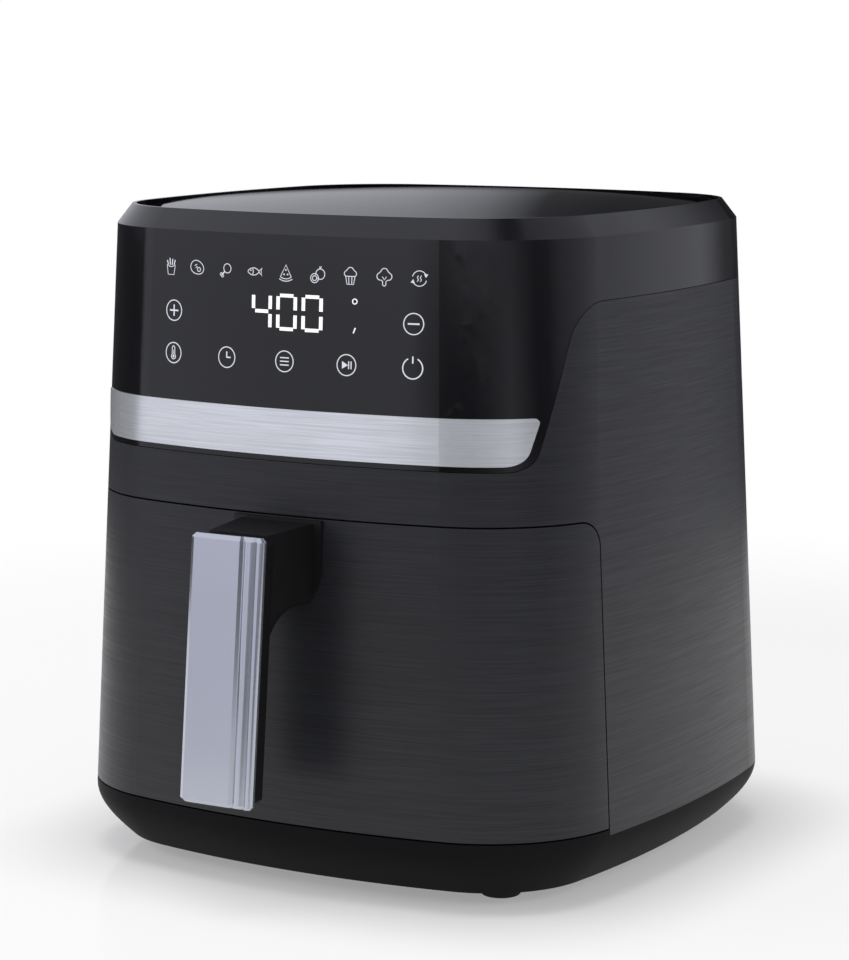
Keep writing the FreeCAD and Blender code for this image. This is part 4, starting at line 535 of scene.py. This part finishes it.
def make_floor_paint():
    """White floor: lit paint that keeps the shadow, mixed with a white glow where the camera sees it; the
    glow is held back round the fryer's footprint, which paints shade there besides the real shadow.
    """
    finish = Finish("floor_paint")
    grain = finish.noise(60.0)
    x, y, _ = axes(finish.tree, finish.place)
    across, along = x * x, y * y
    # painted shade: less glow in a band shaped like the fryer's footprint, so the floor is darker round the
    # base even where the lamps reach it
    far = (across * across + along * along).math("POWER", 0.25).band(*PAINTED_SHADE_FADE)
    rim = (across + along).math("SQRT").band(*RIM_BAND)
    values = {"Base Color": FLOOR_PAINT, "Roughness": 0.10 + grain * 0.04, "Specular IOR Level": 0.35}
    paint = finish.node("ShaderNodeBsdfPrincipled", None, values)
    glow = finish.node("ShaderNodeEmission", None, {"Color": WHITE, "Strength": 1.0})
    share = seen_directly(finish.tree) * (FLOOR_WHITE + far * FAR_WHITE + rim * RIM_WHITE)
    mixed = finish.node("ShaderNodeMixShader", None, {0: share, 1: paint, 2: glow})
    finish.node("ShaderNodeOutputMaterial", None, {"Surface": mixed})
    return finish.material


def seen_directly(tree):
    """1 for camera, glossy and transmission rays."""
    camera = add_node(tree, "ShaderNodeLightPath", None, None, "Is Camera Ray")
    rays = camera.socket.node.outputs
    glossy = Wire(tree, rays["Is Glossy Ray"])
    through = Wire(tree, rays["Is Transmission Ray"])
    return camera.math("MAXIMUM", glossy).math("MAXIMUM", through)


# Brightness of the white tent by heading in degrees: 0 is the fryer's front and 90 its right side.
# The low tones have a dark slot in front, from -9 to 20, and both leave a dark gap behind the fryer.
TENT_LOW = (
    (-180, 0.05), (-160, 0.05), (-100, 0.05), (-80, 0.06), (-69, 0.10), (-65, 0.72), (-31, 0.72),
    (-13, 0.76), (-11, 0.46), (-9, 0.10), (-4, 0.07), (20, 0.09), (34, 0.21), (51, 0.47), (66, 0.20),
    (74, 0.08), (84, 0.10), (98, 0.34), (125, 0.55), (148, 0.64), (160, 0.60), (167, 0.12), (180, 0.05))
TENT_HIGH = (
    (-180, 0.03), (-152, 0.03), (-151, 0.16), (-150, 0.36), (-148, 0.46), (-145, 0.52), (-120, 0.90),
    (-90, 1.0), (-20, 1.0), (8, 0.85), (30, 0.70), (56, 0.28), (70, 0.14), (82, 0.20), (95, 0.46),
    (121, 0.58), (165, 0.58), (174, 0.20), (180, 0.03))
# Rise of a ray where the low tones end, and where the high ones begin
TENT_FOLD = (-0.03, 0.06)
CLOTH = (0.96, 0.97, 1.06, 1.0)  # the tent's cool tint


def tent_ramp(tree, heading, tones):
    """The tent's brightness at a heading that runs from 0 to 1."""
    stops = [((angle + 180.0) / 360.0, (tone, tone, tone, 1.0)) for angle, tone in tones]
    return add_node(tree, "ShaderNodeValToRGB", {"stops": stops}, {0: heading})


def light_room(ambient):
    """White for the camera, the tent's tones in gloss and glass, even light on matt surfaces."""
    world = bpy.data.worlds.new("studio")
    world.use_nodes = True
    tree = world.node_tree
    tree.nodes.clear()
    view = add_node(tree, "ShaderNodeTexCoord", None, None, "Generated")
    x, y, z = axes(tree, view)
    heading = x.math("ARCTAN2", y * -1.0) / (2.0 * math.pi) + 0.5
    rise = z.band(*TENT_FOLD)
    low, high = tent_ramp(tree, heading, TENT_LOW), tent_ramp(tree, heading, TENT_HIGH)
    tent = low * (1.0 - rise) + high * rise
    camera = add_node(tree, "ShaderNodeLightPath", None, None, "Is Camera Ray")
    seen = seen_directly(tree)
    strength = camera + (1.0 - camera) * (seen * tent + (1.0 - seen) * ambient)
    values = {"Factor": seen - camera, 6: WHITE, 7: CLOTH}
    colour = add_node(tree, "ShaderNodeMix", {"data_type": "RGBA"}, values, 2)
    room = add_node(tree, "ShaderNodeBackground", None, {"Color": colour, "Strength": strength})
    add_node(tree, "ShaderNodeOutputWorld", None, {"Surface": room})
    bpy.context.scene.world = world


FRYER_MIDDLE = (0.0, 0.0, 0.16)
SENSOR = 36.0  # millimetres
# Soft boxes that face the fryer: name, place, width, height and power in watts
SOFT_BOXES = (
    ("key_box", (-1.7, -1.0, 0.9), 0.9, 1.2, 14.0),
    ("fill_box", (1.9, -0.2, 0.8), 1.0, 1.4, 13.0),
    ("top_box", (0.0, -0.2, 2.2), 1.2, 1.2, 18.0))


def aim_object(name, data, place, aim):
    """Puts a lamp or a camera at its place, turned to a point."""
    holder = bpy.data.objects.new(name, data)
    bpy.context.scene.collection.objects.link(holder)
    holder.location = place
    holder.rotation_euler = (Vector(aim) - Vector(place)).to_track_quat("-Z", "Y").to_euler()
    return holder


def add_softbox(name, place, width, height, power):
    """Adds a soft box that lights matt surfaces; in gloss the tent is seen in its stead."""
    lamp = bpy.data.lights.new(name, "AREA")
    lamp.shape = "RECTANGLE"
    lamp.size = width
    lamp.size_y = height
    lamp.energy = power
    aim_object(name, lamp, place, FRYER_MIDDLE).visible_glossy = False


class FRYER_OT_stage(bpy.types.Operator):
    """Set the fryer on a white floor with soft boxes and a camera"""

    bl_idname = "fryer.stage"
    bl_label = "Studio stage"

    def execute(self, context):
        stage = context.scene.fryer_stage
        context.scene.view_settings.view_transform = "Standard"
        bm = bmesh.new()
        bmesh.ops.create_circle(bm, cap_ends=True, segments=96, radius=stage.floor_radius)
        floor = finish_piece(bm, "studio_floor", make_floor_paint())
        light_room(stage.ambient)
        for box in SOFT_BOXES:
            add_softbox(*box)
        lens = bpy.data.cameras.new("camera")
        lens.sensor_width = SENSOR
        lens.sensor_fit = "AUTO"
        lens.lens = stage.focal_length
        context.scene.camera = aim_object("camera", lens, stage.camera_place, stage.camera_aim)
        return {"FINISHED"}


# Pieces

def finish_piece(bm, name, material):
    """Turns a bmesh into an object at the origin with one material."""
    mesh = bpy.data.meshes.new(name)
    bm.to_mesh(mesh)
    bm.free()
    mesh.materials.append(material)
    piece = bpy.data.objects.new(name, mesh)
    bpy.context.scene.collection.objects.link(piece)
    return piece


# Sections across the grip in millimetres: (across, depth behind the cover's face)
COVER_SECTION = (
    (-19.0, 3.2), (-19.0, 1.6), (-16.8, 0.0), (7.2, 0.0), (8.3, 1.4), (8.7, 1.45), (9.5, 0.95), (10.6, 0.55),
    (11.9, 0.45), (13.0, 0.65), (13.9, 1.1), (14.7, 1.8), (15.3, 2.2), (15.5, 1.0), (15.8, 0.3), (16.1, 0.1),
    (17.6, 0.1), (18.4, 0.5), (18.8, 1.1), (19.0, 2.0), (19.0, 3.2))
CORE_SECTION = (
    (-18.7, 2.6), (18.7, 2.6), (18.7, 8.4), (18.3, 10.2), (17.1, 11.5), (15.2, 12.4), (-15.2, 12.4),
    (-17.1, 11.5), (-18.3, 10.2), (-18.7, 8.4))
SHARP_EDGE = math.radians(24.0)
SEAM = 1e-6  # points closer than this are one, in metres


def sweep_grip(section, grip, top, low, bevel):
    """Carries a closed section down the leaning grip, drawn in by the bevel at both ends."""
    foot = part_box("handle_cover")[0]
    half = max(x for x, depth in section)
    back = max(depth for x, depth in section)
    loop_points = section + section[:1]
    rings = ((top, bevel / MM), (top - bevel, 0.0), (low + bevel, 0.0), (low, bevel / MM))
    bm = bmesh.new()
    columns = len(loop_points)
    made = bmesh.ops.create_grid(bm, x_segments=columns - 1, y_segments=len(rings) - 1, size=1.0)
    grid = sorted(made["verts"], key=lambda v: (round(v.co.y, 5), v.co.x))
    for row, (z, inset) in enumerate(rings):
        face = foot.y + grip.set_back + (z - foot.z) * math.tan(grip.lean)
        for column, (x, depth) in enumerate(loop_points):
            vert = grid[row * columns + column]
            sunk = depth + inset * (1 - depth / back)
            vert.co = Vector((x * (1 - inset / half) * MM, face + sunk * MM, z))
    bmesh.ops.remove_doubles(bm, verts=bm.verts[:], dist=SEAM)
    bmesh.ops.holes_fill(bm, edges=[e for e in bm.edges if e.is_boundary], sides=0)
    bmesh.ops.recalc_face_normals(bm, faces=bm.faces[:])
    return bm


class FRYER_OT_grip(bpy.types.Operator):
    """Model the handle's fluted silver cover and the black core behind it"""

    bl_idname = "fryer.grip"
    bl_label = "Handle grip"

    def execute(self, context):
        grip = context.scene.fryer_grip
        bevel = grip.end_bevel
        foot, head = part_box("handle_cover")
        cover = finish_piece(
            sweep_grip(COVER_SECTION, grip, head.z, foot.z, bevel), "grip_cover",
            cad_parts["handle_cover"].data.materials[0])
        core = finish_piece(
            sweep_grip(CORE_SECTION, grip, head.z - bevel, foot.z + bevel, bevel), "grip_core",
            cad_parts["handle_body"].data.materials[0])
        for piece, name in ((cover, "silver_paint"), (core, "black_plastic")):
            piece.data.shade_smooth()
            piece.data.set_sharp_from_angle(angle=SHARP_EDGE)
            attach(piece, "drawer")
        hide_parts("handle_cover")
        return {"FINISHED"}


# Control panel marks, drawn flat in millimetres as (across, up) and wrapped on the panel

WELD = 0.001  # points closer than this are one, in millimetres


def arc(x, z, radius, start, end, steps=24):
    """Points on a circle from start to end, in degrees."""
    turn = [math.radians(start + (end - start) * i / steps) for i in range(steps + 1)]
    return [(x + radius * math.cos(a), z + radius * math.sin(a)) for a in turn]


def ring(x, z, radius, steps=24):
    return arc(x, z, radius, 0, 360, steps)


def loop(points):
    return points + [points[0]]


def add_line(bm, points, width):
    """A ribbon of one width along the points; it closes where the last point meets the first."""
    closed = math.dist(points[0], points[-1]) < WELD
    made = bmesh.ops.create_grid(bm, x_segments=len(points) - 1, y_segments=1, size=1.0)
    rows = sorted(made["verts"], key=lambda v: (round(v.co.x, 5), v.co.y))
    for i, (x, z) in enumerate(points):
        before = points[i - 1] if i else (points[-2] if closed else points[0])
        after = points[i + 1] if i + 1 < len(points) else (points[1] if closed else points[-1])
        along = Vector((after[0] - before[0], after[1] - before[1], 0.0)).normalized()
        across = Vector((-along.y, along.x, 0.0)) * width / 2
        rows[2 * i].co = Vector((x, z, 0.0)) - across
        rows[2 * i + 1].co = Vector((x, z, 0.0)) + across


def add_dot(bm, x, z, radius, corners=20, turn=0.0):
    place = Matrix.Translation((x, z, 0.0)) @ Matrix.Rotation(math.radians(turn), 4, "Z")
    bmesh.ops.create_circle(bm, cap_ends=True, segments=corners, radius=radius, matrix=place)


def wrap_on_panel(bm):
    """Lays the flat marks on the bowed panel and gives them a thin body, half of it sunk."""
    bmesh.ops.remove_doubles(bm, verts=bm.verts[:], dist=WELD)
    bmesh.ops.recalc_face_normals(bm, faces=bm.faces[:])
    low = [f for f in bm.faces if f.normal.z < 0]
    bmesh.ops.reverse_faces(bm, faces=low)
    made = bmesh.ops.extrude_face_region(bm, geom=bm.faces[:], use_keep_orig=True)
    raised = {v for v in made["geom"] if isinstance(v, bmesh.types.BMVert)}
    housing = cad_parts["upper_housing"]
    panel = bpy.context.scene.fryer_panel
    for vert in bm.verts:
        before = Vector((vert.co.x * MM + panel.centre, -1.0, vert.co.y * MM))
        hit, point, _, _ = housing.ray_cast(before, Vector((0.0, 1.0, 0.0)))
        if not hit:
            raise RuntimeError("a mark misses the control panel")
        vert.co = point + Vector((0.0, -panel.lift if vert in raised else panel.lift, 0.0))
    bmesh.ops.recalc_face_normals(bm, faces=bm.faces[:])


def place_print(bm, name, finish):
    """Lays a set of marks on the panel, gives it its print and fixes it to the housing."""
    wrap_on_panel(bm)
    piece = finish_piece(bm, name, bpy.data.materials[finish])
    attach(piece, "housing")


def stamp(bm, draw, width, x, z, size=1.0):
    """Draws one mark about the origin, then scales it and moves it to its place."""
    drawn = set(bm.verts)
    draw(bm, width)
    fresh = [v for v in bm.verts if v not in drawn]
    bmesh.ops.scale(bm, verts=fresh, vec=(size, size, 1.0))
    bmesh.ops.translate(bm, verts=fresh, vec=(x, z, 0.0))


def wavy_ring(x, z, radius_at):
    """A closed line whose radius hangs on its angle."""
    turn = [math.radians(10 * i) for i in range(37)]
    return [(x + radius_at(a) * math.cos(a), z + radius_at(a) * math.sin(a)) for a in turn]


def chips(bm, w):
    cup = [(-2.2, 0.7), (-1.6, -3.2), (1.6, -3.2), (2.2, 0.7), (1.1, 0.1), (0.0, -0.1), (-1.1, 0.1)]
    add_line(bm, loop(cup), w)
    for foot, head, top in ((-1.5, -2.1, 2.4), (-0.5, -0.7, 3.3), (0.5, 0.8, 3.0), (1.5, 2.2, 2.6)):
        add_line(bm, [(foot, 0.6), (head, top)], w * 1.5)


def steak(bm, w):
    edge = wavy_ring(0.0, 0.0, lambda a: 2.9 * (1 + 0.13 * math.cos(2 * a + 0.7) + 0.16 * math.cos(a - 2.5)))
    add_line(bm, [(x * 1.05, z) for x, z in edge], w)
    add_line(bm, ring(0.5, -0.5, 0.8), w)
    add_line(bm, [(-1.7, 0.9), (-0.5, 1.5)], w)
    add_line(bm, [(-1.2, 0.1), (-0.3, 0.6)], w)


def drumstick(bm, w):
    add_line(bm, wavy_ring(1.0, 1.0, lambda a: 1.75 + 0.55 * math.cos(a - math.radians(225))), w)
    add_line(bm, [(-0.75, -0.75), (-1.9, -1.9)], w * 1.8)
    add_line(bm, ring(-2.35, -1.75, 0.5, 16), w)
    add_line(bm, ring(-1.75, -2.35, 0.5, 16), w)


def fish(bm, w):
    add_line(bm, arc(-0.9, -2.0, 3.4, 142, 38, 16), w)
    add_line(bm, arc(-0.9, 2.0, 3.4, 218, 322, 16), w)
    add_line(bm, [(1.7, 0.1), (3.2, 1.5), (2.7, 0.0), (3.2, -1.5), (1.7, -0.1)], w)
    add_line(bm, arc(-2.6, 0.0, 1.6, -42, 42, 8), w)
    add_dot(bm, -2.2, 0.4, 0.32)


def melon(bm, w):
    add_line(bm, [(-2.5, -1.5), (0.0, 3.2), (2.5, -1.5)], w)
    for rind in (4.6, 5.5):
        add_line(bm, arc(0.0, 2.4, rind, 237, 303, 14), w)
    for x, z in ((0.0, 1.2), (-0.8, -0.5), (0.8, -0.5)):
        add_dot(bm, x, z, 0.34)


def fruit(bm, w):
    add_line(bm, arc(1.2, 0.2, 2.0, -140, 190), w)
    add_line(bm, ring(-1.3, -1.4, 1.75), w)
    add_line(bm, ring(-1.3, -1.4, 0.95), w)
    add_line(bm, arc(0.2, 3.6, 1.5, 270, 345, 8), w)
    add_line(bm, [(1.2, 2.2), (0.9, 3.2)], w)


def muffin(bm, w):
    add_line(bm, [(-2.0, -0.1), (-1.4, -3.2), (1.4, -3.2), (2.0, -0.1)], w)
    left, top = arc(-1.5, 0.9, 1.1, 250, 100, 10), arc(0.0, 1.8, 1.5, 150, 30, 10)
    right = arc(1.5, 0.9, 1.1, 80, -70, 10)
    add_line(bm, loop(left + top + right), w)
    for x in (-0.6, 0.6):
        add_line(bm, [(x * 1.1, -0.3), (x, -3.0)], w)


def floret(bm, w):
    left, top = arc(-1.7, 0.3, 1.4, 280, 110, 12), arc(0.0, 1.9, 1.5, 165, 15, 12)
    right = arc(1.7, 0.3, 1.4, 70, -100, 12)
    add_line(bm, left + top + right, w)
    foot = arc(0.0, -2.6, 0.7, 180, 360, 8)
    add_line(bm, [(-1.4, -1.1), (-0.7, -1.5), (-0.7, -2.6)] + foot + [(0.7, -1.5), (1.4, -1.1)], w)
    add_line(bm, [(-0.8, 0.2), (0.0, -1.0), (0.8, 0.2)], w)


def warm_again(bm, w):
    for start, tip in ((165, 25), (345, 205)):
        turn = arc(0.0, 0.0, 2.9, start, tip, 16)
        add_line(bm, turn, w)
        add_dot(bm, *turn[-1], 0.95, 3, tip - 90)
    for x in (-0.9, 0.3):
        add_line(bm, [(x, -1.2), (x + 0.5, -0.5), (x, 0.3), (x + 0.5, 1.1)], w)


PICTOGRAMS = (chips, steak, drumstick, fish, melon, fruit, muffin, floret, warm_again)


class FRYER_OT_pictograms(bpy.types.Operator):
    """Print the row of food pictograms along the top of the panel"""

    bl_idname = "fryer.pictograms"
    bl_label = "Food pictograms"

    def execute(self, context):
        panel = context.scene.fryer_panel
        bm = bmesh.new()
        for i, draw in enumerate(PICTOGRAMS):
            x = (i - (len(PICTOGRAMS) - 1) / 2) * panel.pitch / MM
            stamp(bm, draw, panel.thin_line / MM, x, panel.top_row / MM, panel.pictogram_size)
        place_print(bm, "food_pictograms", "panel_print")
        return {"FINISHED"}


def plus_sign(bm, w):
    add_line(bm, [(-2.6, 0.0), (2.6, 0.0)], w * 1.5)
    add_line(bm, [(0.0, -2.6), (0.0, 2.6)], w * 1.5)


def minus_sign(bm, w):
    add_line(bm, [(-2.7, 0.0), (2.7, 0.0)], w * 1.5)


def thermometer(bm, w):
    tube = arc(0.0, 2.3, 0.75, 0, 180, 10) + arc(0.0, -1.6, 1.25, 130, 410, 20)
    add_line(bm, loop(tube), w * 0.85)
    add_dot(bm, 0.0, -1.6, 0.6)
    add_line(bm, [(0.0, -1.4), (0.0, 1.2)], w * 0.7)


def clock_hands(bm, w):
    add_line(bm, [(0.0, 2.6), (0.0, 0.0)], w * 1.3)
    add_line(bm, [(-w * 0.65, 0.0), (2.2, 0.0)], w * 1.3)


def list_bars(bm, w):
    for up in (-1.6, 0.0, 1.6):
        add_line(bm, [(-2.3, up), (2.3, up)], w * 1.1)


def run_or_hold(bm, w):
    add_dot(bm, -1.2, 0.0, 1.9, 3, -90)
    for x in (1.1, 2.3):
        add_line(bm, [(x, -1.7), (x, 1.7)], w * 1.1)


POWER_GAP = 28  # degrees that the power key's ring leaves open on either side of its bar
POWER_BAR = (0.45, 1.12)  # where that bar starts and ends, in radii of the ring


class FRYER_OT_keys(bpy.types.Operator):
    """Print the ringed touch keys and the power key"""

    bl_idname = "fryer.keys"
    bl_label = "Ringed keys"

    def execute(self, context):
        panel = context.scene.fryer_panel
        side = panel.key_side / MM
        middle = panel.middle_row / MM
        low = panel.low_row / MM
        radius = panel.key_radius / MM
        line = panel.bold_line / MM
        keys = (
            (-side, middle, plus_sign), (side, middle, minus_sign), (-side, low, thermometer),
            (-side / 2, low, clock_hands), (0.0, low, list_bars), (side / 2, low, run_or_hold))
        bm = bmesh.new()
        for x, z, draw in keys:
            add_line(bm, ring(x, z, radius, 48), line)
            stamp(bm, draw, line, x, z)
        add_line(bm, arc(side, low, radius, 90 - POWER_GAP, POWER_GAP - 270, 44), line * 1.2)
        add_line(bm, [(side, low + radius * up) for up in POWER_BAR], line * 1.4)
        place_print(bm, "ringed_keys", "panel_print")
        return {"FINISHED"}


def degree_ring(bm, w):
    add_line(bm, ring(0.0, -2.0, 1.1, 20), w)


def prime_mark(bm, w):
    add_line(bm, [(-0.5, 0.6), (0.5, 3.0)], w)


SHOWN = "400"
SEGMENTS = {"4": "fbgc", "0": "abcdef"}
SHOWN_MIDDLE = 0.95  # place of the panel's middle in the row of digits, counted from the first
SEGMENT_GAP = 0.1
DEGREE_LINE = 0.45
PRIME_LINE = 0.55


def segment_lines(width, height, bar):
    """Start, end and line width of each segment of a digit that stands on the origin."""
    half = height / 2
    column = width / 2 - bar / 2
    flat = width / 2 - bar - SEGMENT_GAP
    lines = {}
    for name, z in (("d", bar / 2), ("g", half), ("a", height - bar / 2)):
        lines[name] = ((-flat, z), (flat, z), bar * 0.88)
    for name, x, up in (("f", -column, 1), ("b", column, 1), ("e", -column, 0), ("c", column, 0)):
        foot = bar * 0.7 + up * (half - bar * 0.1)
        lines[name] = ((x, foot), (x, foot + half - bar * 1.35), bar)
    return lines


class FRYER_OT_digits(bpy.types.Operator):
    """Light the three digits and the two unit marks of the display"""

    bl_idname = "fryer.digits"
    bl_label = "Display digits"

    def execute(self, context):
        panel = context.scene.fryer_panel
        height = panel.digit_height / MM
        foot = panel.digit_foot / MM
        lines = segment_lines(panel.digit_width / MM, height, panel.digit_bar / MM)
        bm = bmesh.new()
        for i, digit in enumerate(SHOWN):
            middle = (i - SHOWN_MIDDLE) * panel.digit_pitch / MM
            for name in SEGMENTS[digit]:
                start, end, width = lines[name]
                add_line(bm, [(x + middle, z + foot) for x, z in (start, end)], width)
        unit = panel.unit_column / MM
        stamp(bm, degree_ring, DEGREE_LINE, unit, foot + height)
        stamp(bm, prime_mark, PRIME_LINE, unit, foot)
        place_print(bm, "display_digits", "lit_digits")
        return {"FINISHED"}


# Sidebar and registration

class FRYER_PT_panel(bpy.types.Panel):
    """Lists the fryer's operators and settings"""

    bl_label = "Air Fryer"
    bl_idname = "FRYER_PT_panel"
    bl_space_type = "VIEW_3D"
    bl_region_type = "UI"
    bl_category = "Air Fryer"

    def draw(self, context):
        column = self.layout.column()
        for operator in OPERATORS:
            column.operator(operator.bl_idname)
        for name in SETTINGS:
            settings = getattr(context.scene, name)
            box = self.layout.box()
            for key in settings.__annotations__:
                box.prop(settings, key)


SETTINGS = {
    "fryer_look": FryerLook, "fryer_grip": FryerGrip, "fryer_panel": FryerPanel, "fryer_stage": FryerStage}
OPERATORS = (
    FRYER_OT_finishes, FRYER_OT_grip, FRYER_OT_pictograms, FRYER_OT_keys, FRYER_OT_digits, FRYER_OT_stage)
CLASSES = tuple(SETTINGS.values()) + OPERATORS + (FRYER_PT_panel,)


def register():
    for cls in CLASSES:
        bpy.utils.register_class(cls)
    for name, group in SETTINGS.items():
        setattr(bpy.types.Scene, name, PointerProperty(type=group))


def unregister():
    for name in SETTINGS:
        delattr(bpy.types.Scene, name)
    for cls in reversed(CLASSES):
        bpy.utils.unregister_class(cls)


def main():
    register()
    bpy.ops.fryer.finishes()
    bpy.ops.fryer.grip()
    bpy.ops.fryer.pictograms()
    bpy.ops.fryer.keys()
    bpy.ops.fryer.digits()
    bpy.ops.fryer.stage()


if __name__ == "__main__":
    main()
